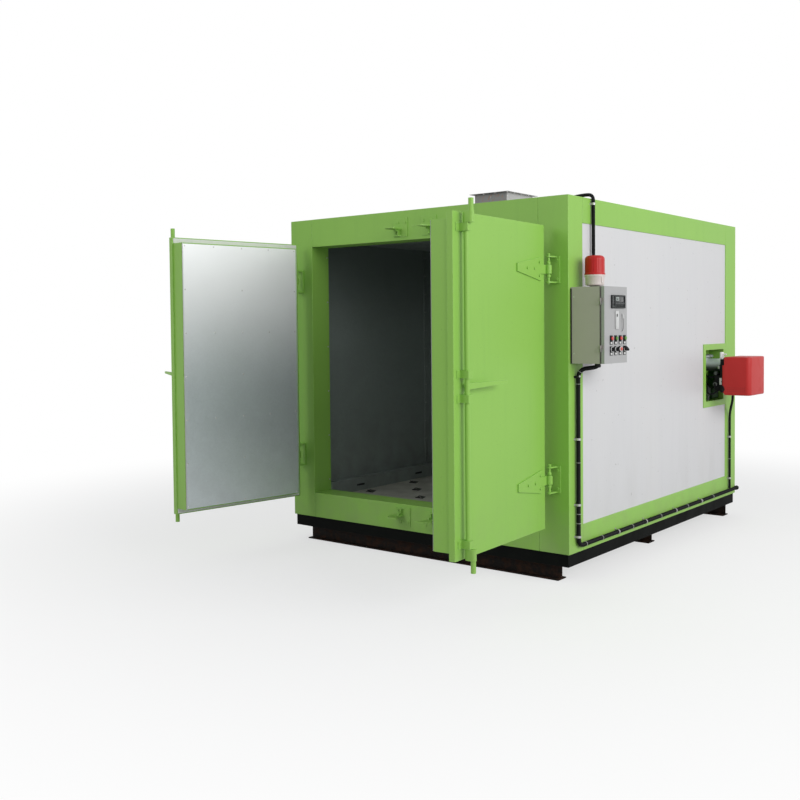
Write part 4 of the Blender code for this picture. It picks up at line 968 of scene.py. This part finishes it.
def temperature_controller():
    """The controller: a rounded bezel, a set point column, a pale display, and rows of rubber keys."""
    low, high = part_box("temperature_controller")
    x, face = low.x, high.x
    base, bright = face - 0.005, 0.013
    made = Piece("temperature_controller_detail", CONTROLLER_GREY, GLASS_DARK, DISPLAY_PALE, KEY_GREY)
    body, glass, pale, key = range(4)
    made.block((x, low.y, low.z), (face - 0.0045, high.y, high.z), 0.002, body)
    split = low.y + 0.044
    bezels = frame_bars((low.y + 0.001, low.z + 0.001), (split - 0.0025, high.z - 0.001), 0.0045)
    bezels += frame_bars((split + 0.0005, low.z + 0.001), (high.y - 0.001, high.z - 0.001), 0.0055)
    for (near, under), (far, over) in bezels:
        made.block((face - 0.006, near, under), (face, far, over), 0.0008, body)
    made.block((face - 0.006, split - 0.0022, low.z + 0.002),
               (face - 0.0015, split + 0.001, high.z - 0.002), 0.0003, pale)
    left = low.y + 0.0065
    for under, number in ((high.z - 0.029, "180"), (high.z - 0.056, "030")):
        made.block((base, left, under), (face - 0.003, split - 0.0085, under + 0.022), 0.0006, glass)
        digits(made, number, face - 0.0029, left + 0.0035, under + 0.004, bright, key)
    made.block((base, low.y + 0.003, high.z - 0.0335),
               (face - 0.0022, split - 0.004, high.z - 0.03), 0.0004, key)
    for y in spaced(left + 0.005, split - 0.0135, 0.011):
        made.block((base, y - 0.0038, low.z + 0.0085),
                   (face - 0.0012, y + 0.0038, low.z + 0.0155), 0.0012, key)
    screen = split + 0.009
    made.block((base, screen - 0.003, high.z - 0.041), (face - 0.0032, high.y - 0.012, high.z - 0.008),
               0.0008, glass)
    made.block((face - 0.004, screen - 0.003, high.z - 0.034),
               (face - 0.0028, screen + 0.044, high.z - 0.012), 0.0004, pale)
    digits(made, "180", face - 0.0027, screen + 0.004, high.z - 0.03, bright, key)
    for lamp in range(5):
        y = screen + 0.062 + lamp % 2 * 0.02
        z = high.z - 0.016 - lamp // 2 * 0.0085
        made.block((face - 0.0034, y, z), (face - 0.0026, y + 0.015, z + 0.0042), 0.0003, key)
    for z, finish in ((high.z - 0.054, key), (low.z + 0.0105, body)):
        for y in spaced(screen + 0.006, high.y - 0.02, 0.0215):
            made.block((base, y - 0.0078, z - 0.0004), (face - 0.001, y + 0.0078, z + 0.008), 0.0014, finish)
    made.done("control_door", "controller_black", ("temperature_controller",))


def push_buttons():
    """Two rows of four on black plates with blank labels: buttons above; selector knobs and a lamp below,
    each in a pale ring painted as a highlight.
    """
    x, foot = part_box("push_buttons")[0].x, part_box("control_box")[0].z
    pitch, row_pitch, sides = 0.059, 0.065, 28
    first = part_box("control_box_door")[1].y - 0.007 - 4 * pitch
    made = Piece("push_buttons_detail", PLASTIC_BLACK, BUTTON_RED, BUTTON_GREEN, LABEL, LAMP_AMBER)
    black, red, green, pale, amber = range(5)
    button = [(0.011, 0.004), (0.011, 0.0118), (0.0102, 0.013), (0.0, 0.0122)]
    for row, kinds in enumerate(("knob knob lamp cone".split(), (red, green, red, green))):
        z = foot + 0.085 + row_pitch * row
        for column, kind in enumerate(kinds):
            y = first + pitch * (column + 0.5)
            where = aim((x, y, z), (1, 0, 0))
            made.block((x, y - 0.0185, z - 0.037), (x + 0.0022, y + 0.0185, z + 0.0185), 0.0009, black)
            made.block((x + 0.0014, y - 0.0105, z - 0.0335), (x + 0.003, y + 0.012, z - 0.021), 0.0012, pale)
            ring = [(0.0162, 0.002), (0.0162, 0.0055), (0.0148, 0.0075), (0.0125, 0.0075), (0.0125, 0.004)]
            made.turned(ring, where, sides, black)
            # Painted highlight: a pale ring round each fitting of the lower row stands for the light its
            # bezel catches.
            if row == 0:
                made.turned([(0.016, 0.0062), (0.016, 0.008), (0.0135, 0.0086)], where, sides, pale)
            if kind == "cone":
                cone = [(0.015, 0.002), (0.015, 0.01), (0.0125, 0.019), (0.006, 0.033), (0.003, 0.0355),
                        (0.0, 0.036)]
                made.turned(cone, aim((x, y, z + 0.006), (1.0, 0.0, -0.42)), 24, black)
            elif kind == "lamp":
                lens = [(0.0108, 0.004), (0.0108, 0.011), (0.01, 0.014), (0.007, 0.0162), (0.0, 0.0172)]
                made.turned(lens, where, sides, amber)
            elif kind == "knob":
                knob = [(0.0128, 0.004), (0.0128, 0.012), (0.0118, 0.0135), (0.0, 0.014)]
                made.turned(knob, where, sides, black)
                turn = where @ Matrix.Rotation(math.radians(-35), 4, "Z")
                made.block((-0.0042, -0.0135, 0.012), (0.0042, 0.015, 0.0248), 0.0016, black, turn)
                made.block((-0.0007, 0.004, 0.0246), (0.0007, 0.0135, 0.0252), 0.0, pale, turn)
            else:
                made.turned(button, where, sides, kind)
    made.done("control_door", "button_plastic", ("push_buttons",))


def door_lock_and_pull():
    """The box door's plated lock plate with its keyhole, a grey strip down its left edge as painted shade of
    its side, and a slim pull beside it.
    """
    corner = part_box("control_box_door")[1]
    x, end, top, front = corner.x, corner.y, corner.z, (1, 0, 0)
    made = Piece("control_box_lock", LOCK_PALE, PLASTIC_BLACK, STEEL, PULL_GREY)
    plated, black, steel, grey = range(4)
    y, low, high, half = end - 0.137, top - 0.257, top - 0.146, 0.0205
    near, far = y - half, y + half
    made.block((x + 0.0002, near, low), (x + 0.0058, far, high), 0.0035, plated, segments=3)
    # Painted shade: a darker grey strip down the plate's left edge stands for its shaded side.
    made.block((x + 0.0002, near - 0.0046, low + 0.004), (x + 0.0036, near + 0.001, high + 0.002),
               0.0012, grey)
    made.block((x + 0.005, near + 0.006, low + 0.01), (x + 0.0074, far - 0.006, high - 0.046), 0.001, plated)
    barrel = aim((x + 0.005, y - 0.0085, high - 0.027), front) @ Matrix.Diagonal((1.0, 1.45, 1.0, 1.0))
    made.turned([(0.0092, 0.0), (0.0092, 0.0016), (0.0084, 0.0022), (0.0, 0.0022)], barrel, 28, plated)
    made.turned([(0.0066, 0.0016), (0.0066, 0.003), (0.0, 0.003)], barrel, 28, black)
    for z in (low + 0.005, high - 0.005):
        made.turned([(0.0024, 0.0), (0.0016, 0.0009), (0.0, 0.0012)],
                    aim((x + 0.0056, y, z), front), 12, steel)
    y, low, high, steps = end - 0.068, top - 0.268, top - 0.166, 16
    shares = [step / steps for step in range(steps + 1)]
    bar = [Vector((x + 0.0012 + 0.01 * math.sin(math.pi * share) ** 0.35, y, low + (high - low) * share))
           for share in shares]
    made.run(bar[:14], [0.0031] * 14, 10, grey)
    made.run(bar[12:], [0.0044] * 5, 10, plated)
    for z in (low, high):
        made.turned([(0.0062, 0.0), (0.0062, 0.0012), (0.004, 0.0024)],
                    aim((x + 0.0002, y, z), front), 18, grey)
    made.done("control_door", "box_door_grey")


def beacon():
    """The beacon: a rubber foot, a cream base with two clips, and its dome."""
    low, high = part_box("beacon_base")
    centre = (low + high) / 2
    rim, height, foot = (high.x - low.x) / 2, high.z - low.z, 0.0088
    wall, clips, lip_teeth = rim - 0.0065, (-12, 168), 36
    base = Piece("beacon_base_detail", CREAM, PLASTIC_BLACK, STEEL)
    stand = Matrix.Translation((centre.x, centre.y, low.z))
    base.turned([(0.03, 0.0), (0.03, foot), (0.027, 0.009)], stand, 32, 1)
    body = [(0.026, foot), (wall - 0.005, 0.0092), (wall, 0.015), (wall + 0.002, height - 0.016)]
    lip = [(rim - 0.0008, height - 0.011), (rim, height - 0.009), (rim, height - 0.002),
           (rim - 0.001, height)]
    base.turned(body + lip, stand, 64)
    for step in range(lip_teeth):
        turn = stand @ Matrix.Rotation(2 * math.pi * step / lip_teeth, 4, "Z")
        base.block((rim - 0.002, -0.0022, height - 0.0085), (rim + 0.0005, 0.0022, height - 0.0022),
                   0.0006, 0, turn)
    for angle in clips:
        turn = stand @ Matrix.Rotation(math.radians(angle), 4, "Z")
        base.block((wall - 0.002, -0.0065, 0.022), (wall + 0.0048, 0.0065, height - 0.012), 0.0016, 0, turn)
        base.block((wall + 0.004, -0.0045, 0.026), (wall + 0.006, 0.0045, 0.033), 0.0008, 2, turn)
    base.done("root", "beacon_cream", ("beacon_base",))
    beacon_dome(centre, rim)


def beacon_dome(centre, rim):
    """The fluted red dome, with a row of teeth round its foot and a flat disc on top."""
    low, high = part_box("beacon_dome")
    height = high.z - low.z
    radius, rounding, shoulder, levels, arcs = rim - 0.003, 0.024, 0.016, 6, 8
    sides, flute, groove, teeth = 96, 4, 0.0011, 24
    dome = Piece("beacon_dome_detail", LENS_RED, LENS_DEEP)
    stand = Matrix.Translation((centre.x, centre.y, low.z))
    profile = [(rim, 0.0, 0), (rim, 0.0075, 0), (rim - 0.0008, 0.0095, 0), (radius, 0.012, 0)]
    straight = height - rounding - shoulder
    profile += [(radius, shoulder + straight * step / levels, 1) for step in range(levels + 1)]
    for step in range(1, arcs):
        turn = math.radians(90 * step / arcs)
        out = radius - rounding + rounding * math.cos(turn)
        level = height - rounding + rounding * math.sin(turn)
        profile.append((out, level, 1 - step / arcs))
    points = []
    for spread, level, depth in profile:
        for step in range(sides):
            angle = 2 * math.pi * step / sides
            out = spread - (groove * depth if step % flute in (0, 1) else 0.0)
            points.append((out * math.cos(angle), out * math.sin(angle), level))
    dome.tube(points, sides, 0, stand)
    for step in range(teeth):
        turn = stand @ Matrix.Rotation(2 * math.pi * (step + 0.5) / teeth, 4, "Z")
        dome.block((rim - 0.003, -0.003, 0.0012), (rim - 0.0001, 0.003, 0.0072), 0.0007, step % 2, turn)
    disc = radius * 0.42
    dome.turned([(disc, height - 0.0012), (disc, height - 0.0002), (radius * 0.3, height)], stand, 32, 0)
    dome.done("root", "beacon_red", ("beacon_dome",), crease=24.0)


def burner():
    """The burner's red cover with rounded uprights, then its tube and fittings."""
    low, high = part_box("burner_cover")
    edge, face, front = low.x, low.y, (0, -1, 0)
    low.x = edge + 0.0095
    cover = Piece("burner_cover_detail", RED_COVER, VENT_SHADE_RED, CAST_BLACK)
    corner, arcs = 0.036, 8
    shape = bmesh.new()
    outline = [(low.x, low.y), (low.x, high.y)]
    for centre_y, turn_from in ((high.y - corner, 90), (low.y + corner, 0)):
        for step in range(arcs + 1):
            turn = math.radians(turn_from - 90 * step / arcs)
            outline.append((high.x - corner + corner * math.cos(turn), centre_y + corner * math.sin(turn)))
    foot = shape.faces.new([shape.verts.new((x, y, low.z)) for x, y in outline])
    raised = bmesh.ops.extrude_face_region(shape, geom=[foot])["geom"]
    top = [item for item in raised if isinstance(item, bmesh.types.BMVert)]
    bmesh.ops.translate(shape, vec=(0, 0, high.z - low.z), verts=top)
    flat = [e for e in shape.edges if abs(e.verts[0].co.z - e.verts[1].co.z) < 1e-6]
    bmesh.ops.bevel(shape, geom=flat, offset=0.01, segments=4, profile=0.5, affect="EDGES")
    cover.take(shape)
    split = low.z + 0.232
    cover.block((edge - 0.0055, low.y + 0.0015, low.z + 0.016), (low.x + 0.01, high.y - 0.002, split), 0.004)
    cover.block((edge + 0.0002, low.y + 0.008, split - 0.004),
                (low.x + 0.004, high.y - 0.008, high.z - 0.008), 0.002, 2)
    # Painted shade: dark red discs stand for the vent holes' dark insides.
    for row in range(3):
        for place in range(9):
            spot = (low.x + 0.03 + 0.016 * place, face - 0.0002, low.z + 0.03 + 0.014 * row)
            cover.turned([(0.0026, 0.0), (0.0026, 0.0003)], aim(spot, front), 12, 1)
    near, far, under, over = low.x + 0.018, high.x - 0.052, low.z + 0.03, high.z - 0.03
    for x, z in ((near, over), (near, under), (far, over)):
        cover.turned([(0.0052, 0.0), (0.0048, 0.001), (0.0, 0.0014)], aim((x, face, z), front), 20, 0)
    cover.done("root", "red_cover", ("burner_cover",))
    burner_tube()
    burner_fittings()


def burner_tube():
    """The steel blast tube with its rolled bead, wall flange and bolts."""
    low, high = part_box("blast_tube")
    flange, length = (high.y - low.y) / 2, high.x - low.x
    tube, bolts = flange - 0.0175, 6
    made = Piece("blast_tube_detail", TUBE_STEEL, STEEL)
    stand = aim((low.x, (low.y + high.y) / 2, (low.z + high.z) / 2), (1, 0, 0))
    collar = [(flange, 0.0), (flange, 0.0085), (flange - 0.001, 0.0095), (tube + 0.003, 0.01),
              (tube + 0.0005, 0.013), (tube, 0.018)]
    bead = [(tube, 0.052), (tube + 0.0016, 0.055), (tube, 0.058)]
    band = [(tube, length - 0.034), (tube + 0.0045, length - 0.032), (tube + 0.0045, length - 0.012),
            (tube, length - 0.01), (tube, length)]
    made.turned(collar + bead + band, stand, 64)
    out = Matrix.Translation((tube + 0.0098, 0, 0.0094))
    for step in range(bolts):
        turn = stand @ Matrix.Rotation(2 * math.pi * (step + 0.5) / bolts, 4, "Z") @ out
        made.turned([(0.0058, 0.0), (0.0058, 0.0046), (0.0048, 0.0056)], turn, 6, 1)
    clamp = stand @ Matrix.Rotation(math.radians(200), 4, "Z")
    made.block((tube + 0.002, -0.01, length - 0.029), (tube + 0.014, 0.01, length - 0.015), 0.002, 1, clamp)
    made.done("root", "burner_steel", ("blast_tube",))


def burner_fittings():
    """The pump's ports, the fan case in the niche, a filter, pipes, the bracket and a blank label."""
    low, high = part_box("burner_body")
    front, housing = low.y, high.x - 0.03
    made = Piece("burner_fittings", CAST_BLACK, STEEL, CAST_GREY, LABEL, BRACKET_WHITE, CAST_PALE, HOSE,
                 ZINC_PIPE, FAN_CASE_SHADE)
    for z in spaced(low.z + 0.008, high.z - 0.022, 0.07):
        made.screw((housing + 0.015, front - 0.0002, z), (0, -1, 0), 0.004, 0)
    for z in (low.z + 0.05, high.z - 0.05, (low.z + high.z) / 2):
        made.block((housing - 0.006, front + 0.004, z - 0.004),
                   (housing, high.y - 0.004, z + 0.004), 0.001, 0)
    made.block((housing - 0.0025, front - 0.002, high.z - 0.199), (housing + 0.0158, front, high.z - 0.146),
               0.0006, 3)
    fan_case_and_bracket(made, front, housing, high.z)
    pump_ports(made, front + 0.022, housing, low.z)
    niche_pipes(made, front, housing, low.z)
    made.done("root", "burner_black")


def fan_case_and_bracket(made, front, housing, top):
    """The ribbed fan case in the niche, dark green as painted shade of the niche's green wall, and the pale
    cable bracket on the housing.
    """
    near, far, green, pale = front + 0.112, front + 0.25, 8, 4
    # Painted shade: the fan case's dark green copies the shade on the niche's green wall.
    made.block((SIDE - 0.068, near, top - 0.24), (housing - 0.004, far, top - 0.098), 0.008, green)
    made.block((SIDE - 0.068, near, top - 0.318), (SIDE - 0.03, far, top - 0.232), 0.008, green)
    for z in spaced(top - 0.222, top - 0.118, 0.026):
        made.block((SIDE - 0.06, near - 0.004, z - 0.004), (housing - 0.012, near + 0.004, z + 0.004),
                   0.0015, green)
    left, ahead, behind = housing - 0.001, front + 0.002, front + 0.05
    made.block((left, ahead, top), (housing + 0.013, behind, top + 0.054), 0.0016, pale)
    made.block((left, ahead, top), (housing + 0.029, behind, top + 0.005), 0.0012, pale)
    for z, reach, thick in ((top + 0.037, 0.04, 0.006), (top + 0.02, 0.026, 0.004)):
        collar = thick + 0.0014
        gland = [(collar, 0.0), (collar, 0.006), (thick, 0.0065), (thick, reach),
                 (thick - 0.001, reach + 0.001)]
        made.turned(gland, aim((housing + 0.006, front + 0.016, z), (1, 0, 0)), 18, pale)


def pump_ports(made, front, housing, low):
    """What is screwed to the fuel pump: a ring port, a round valve on top, a nipple and cap bolts."""
    foot, head, ahead, black, grey, pale = low + 0.012, low + 0.13, (0, -1, 0), 0, 2, 5
    port = aim((housing - 0.044, front, foot + 0.05), ahead)
    ring = [(0.016, 0.0), (0.016, 0.012), (0.0142, 0.0135), (0.0092, 0.0135), (0.0092, 0.004)]
    made.turned(ring, port, 28, pale)
    made.turned([(0.0092, 0.0), (0.0092, 0.014), (0.0, 0.014)], port, 24, black)
    valve = [(0.015, 0.0), (0.015, 0.024), (0.0138, 0.027), (0.007, 0.0275), (0.007, 0.032), (0.0, 0.033)]
    made.turned(valve, aim((housing - 0.047, front + 0.036, head + 0.018), ahead), 32, pale)
    made.block((housing - 0.066, front + 0.01, head - 0.004), (housing - 0.03, front + 0.07, head + 0.014),
               0.004, black)
    nipple = [(0.0085, 0.0), (0.0085, 0.012), (0.006, 0.013), (0.006, 0.02)]
    made.turned(nipple, aim((housing - 0.014, front, head - 0.02), ahead), 6, black)
    for y in (front + 0.015, front + 0.085):
        for z in (foot + 0.014, head - 0.014):
            bolt = aim((housing - 0.0502, y, z), (-1, 0, 0))
            made.turned([(0.0048, 0.0), (0.0048, 0.004), (0.0036, 0.0048)], bolt, 6, grey)
    plug = Matrix.Translation((housing + 0.031, front - 0.0415, low + 0.028))
    plug = plug @ Matrix.Diagonal((0.78, 1.0, 1.55, 1.0)) @ Matrix.Rotation(math.radians(45), 4, "Y")
    made.block((-0.014, -0.002, -0.014), (0.014, 0.008, 0.014), 0.002, black, plug)
    made.block((housing + 0.002, front - 0.03, low + 0.006), (housing + 0.02, front - 0.02, low + 0.03),
               0.003, black)


def niche_pipes(made, front, housing, low):
    """The filter on the niche's floor, the fuel hoses, and the steel pipe that comes in above the tube."""
    floor, rubber, steel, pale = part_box("burner_niche")[0].z + 0.045, 6, 7, 5
    back = SIDE - 0.12
    wall = back + 0.0004
    can = (SIDE - 0.052, front + 0.082)
    filter_can = [(0.009, 0.0), (0.009, 0.034), (0.014, 0.036), (0.018, 0.04), (0.018, 0.1),
                  (0.016, 0.105), (0.01, 0.107), (0.01, 0.116), (0.0, 0.117)]
    made.turned(filter_can, Matrix.Translation((*can, floor + 0.0002)), 32, pale)
    port = (housing - 0.04, front + 0.01, low + 0.062)
    feeds = [
        [(*can, floor + 0.112), (can[0], can[1] - 0.01, floor + 0.135),
         (SIDE - 0.006, front + 0.02, floor + 0.1), (port[0], port[1] - 0.01, port[2] - 0.022), port],
        [(wall, front + 0.1, floor + 0.165), (back + 0.05, front + 0.09, floor + 0.16),
         (back + 0.08, front + 0.03, floor + 0.11), (SIDE - 0.028, front + 0.01, floor + 0.06),
         (SIDE + 0.004, front + 0.016, floor + 0.048), (housing - 0.024, front + 0.04, low + 0.016)],
        [(wall, front + 0.06, floor + 0.205), (back + 0.06, front + 0.06, floor + 0.2),
         (SIDE - 0.03, front + 0.034, floor + 0.185), (housing - 0.062, front + 0.046, low + 0.116)]]
    for route in feeds:
        path = walk(smooth_route(route, 0.03, 6), 0.006)
        made.run(path, [0.0068] * len(path), 14, rubber)
    level, pipe = low + 0.277, back + 0.052
    route = [(wall, front + 0.217, level), (pipe, front + 0.217, level), (pipe, front - 0.07, level)]
    path = walk(smooth_route(route, 0.03, 6), 0.004)
    made.run(path, [0.0145] * len(path), 18, steel)
    for y in (front + 0.03, front + 0.12):
        made.turned([(0.0182, 0.0), (0.0182, 0.018), (0.0168, 0.02)],
                    aim((pipe, y, level), (0, 1, 0)), 8, steel)


def roof_duct_details():
    """The roof duct's corner seams with rivets, its standing seams, foot angle and flange screws."""
    low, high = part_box("roof_duct")
    made = Piece("roof_duct_seams", ZINC_DUCT, STEEL)
    flange, foot, foot_top = 0.03, TOP + 0.0002, TOP + 0.0022
    inner_low = Vector((low.x + flange, low.y + flange, TOP))
    inner_high = Vector((high.x - flange, high.y - flange, high.z))
    under, over, rivets = TOP + 0.006, high.z - 0.004, spaced(TOP + 0.04, high.z - 0.03, 0.055)
    for x, way in ((inner_low.x, -1), (inner_high.x, 1)):
        for y in (inner_low.y + 0.012, inner_high.y - 0.012):
            face = x + way * 0.0018
            made.block((x, y - 0.01, under), (face, y + 0.01, over), 0.0005)
            for z in rivets:
                made.rivet((face, y, z), (way, 0, 0), 0.0036, 0.0015, 1)
    for y, way in ((inner_low.y, -1), (inner_high.y, 1)):
        face = y + way * 0.0014
        made.block((-0.009, y, under), (0.009, face, over), 0.0004)
        for z in rivets:
            made.rivet((0.0, face, z), (0, way, 0), 0.0036, 0.0015, 1)
    rim_screws(made, low, high, 0.015, (0.095, 0.106), high.z - 0.0031, (0, 0, -1))
    corners = [(end.x + way * 0.034, end.y + way * 0.034) for end, way in ((inner_low, -1), (inner_high, 1))]
    for (left, near), (right, far) in frame_bars(*corners, 0.0335):
        made.block((left, near, foot), (right, far, foot_top), 0.0006)
    rim_screws(made, inner_low, inner_high, -0.018, (0.12, 0.12), foot_top, (0, 0, 1))
    made.done("root", "galvanised_sheet")


def rim_screws(made, low, high, inset, pitches, level, along):
    """Screws along the four sides of a flange, each corner once."""
    left, near, right, far = low.x + inset, low.y + inset, high.x - inset, high.y - inset
    places = [(x, y) for x in spaced(left, right, pitches[0]) for y in (near, far)]
    places += [(x, y) for y in spaced(near, far, pitches[1])[1:-1] for x in (left, right)]
    for x, y in places:
        made.screw((x, y, level), along, 0.0042, 1)


def studio_floor():
    """A wide grey floor that takes shadows and turns white far from the oven."""
    bpy.ops.mesh.primitive_circle_add(vertices=96, radius=70.0, fill_type="NGON", location=(0, 0, -0.0005))
    floor = bpy.context.object
    floor.name = "studio_floor"
    paint = Finish("floor_paint", (0.86, 0.86, 0.86), 0.9)
    distance = paint.node("ShaderNodeVectorMath", {"operation": "LENGTH"}, {0: paint.place()}, out="Value")
    far = 0.6 + distance.fade(2.4, 6.0) * 0.4
    camera_ray = paint.node("ShaderNodeLightPath", out="Is Camera Ray")
    seen = paint.sum("MAXIMUM", camera_ray, paint.node("ShaderNodeLightPath", out="Is Glossy Ray"))
    seen = paint.sum("MAXIMUM", seen, paint.node("ShaderNodeLightPath", out="Is Transmission Ray"))
    paint.set("Base Color", paint.mix(camera_ray, (0.42, 0.42, 0.42), (0.88, 0.88, 0.88)))
    glow = paint.node("ShaderNodeEmission", values={"Color": (1, 1, 1, 1), "Strength": 1.0})
    shades = {0: far * seen, 1: Value(paint, paint.shader.outputs[0]), 2: glow}
    blend = paint.node("ShaderNodeMixShader", values=shades)
    paint.tree.links.new(blend.socket, paint.tree.nodes["Material Output"].inputs["Surface"])
    floor.data.materials.append(paint.material)


def studio_world(scene):
    """Pure white where it is seen, and a dimmer, cooler light on the oven."""
    world = bpy.data.worlds.new("studio")
    scene.world = world
    world.use_nodes = True
    nodes, links = world.node_tree.nodes, world.node_tree.links
    nodes.clear()
    path = nodes.new("ShaderNodeLightPath")
    shown = path.outputs["Is Camera Ray"]
    for ray in ("Is Glossy Ray", "Is Transmission Ray"):
        either = nodes.new("ShaderNodeMath")
        either.operation = "ADD"
        either.use_clamp = True
        links.new(shown, either.inputs[0])
        links.new(path.outputs[ray], either.inputs[1])
        shown = either.outputs[0]
    shades = [shown]
    for colour, strength in (((0.96, 0.98, 1.0, 1.0), 0.46), ((1.0, 1.0, 1.0, 1.0), 1.0)):
        shade = nodes.new("ShaderNodeBackground")
        shade.inputs["Color"].default_value = colour
        shade.inputs["Strength"].default_value = strength
        shades.append(shade.outputs[0])
    mix, out = nodes.new("ShaderNodeMixShader"), nodes.new("ShaderNodeOutputWorld")
    for number, shade in enumerate(shades):
        links.new(shade, mix.inputs[number])
    links.new(mix.outputs[0], out.inputs["Surface"])


def studio_lamps(scene):
    """A broad key from the right, and a weaker lamp in front."""
    for name, place, target, wide, tall, power in (
            ("key", (9.0, -1.6, 4.2), (0.6, -0.6, 1.2), 9.0, 5.0, 540.0),
            ("front", (-2.5, -9.0, 5.0), (0.0, -1.4, 1.2), 4.0, 4.0, 130.0)):
        data = bpy.data.lights.new(name, "AREA")
        data.shape = "RECTANGLE"
        data.size = wide
        data.size_y = tall
        data.energy = power
        lamp = bpy.data.objects.new(name, data)
        lamp.location = place
        lamp.rotation_euler = (Vector(target) - Vector(place)).to_track_quat("-Z", "Y").to_euler()
        scene.collection.objects.link(lamp)


def add_camera(scene):
    """The photograph's view, with lens and shift worked out for a square frame 800 pixels across."""
    place, frame, sensor, down = (4.1218, -6.7559, 1.5921), 800, 36.0, 40
    focal, yaw, pitch, roll = 998.32, -0.6719, math.radians(-2.0), -0.0096
    forward = Vector((math.sin(yaw) * math.cos(pitch), math.cos(yaw) * math.cos(pitch), math.sin(pitch)))
    level = Vector((math.cos(yaw), -math.sin(yaw), 0.0))
    over = level.cross(forward)
    across = level * math.cos(roll) + over * math.sin(roll)
    up = over * math.cos(roll) - level * math.sin(roll)
    data = bpy.data.cameras.new("camera")
    data.sensor_width = sensor
    data.lens = focal / frame * sensor
    data.shift_y = -down / frame
    data.clip_end = 300.0
    camera = bpy.data.objects.new("camera", data)
    turn = Matrix((across, up, -forward)).transposed()
    camera.matrix_world = Matrix.Translation(place) @ turn.to_4x4()
    scene.collection.objects.link(camera)
    scene.camera = camera


dress_frame()
door_seals_and_rivets()
hinge_sleeves()
jamb_rivets()
lining_seams()
air_slots()
scoop_mouths()
conduits()
control_box_details()
temperature_controller()
push_buttons()
door_lock_and_pull()
beacon()
burner()
roof_duct_details()
SCENE = bpy.context.scene
SCENE.view_settings.view_transform = "Standard"
studio_floor()
studio_world(SCENE)
studio_lamps(SCENE)
add_camera(SCENE)
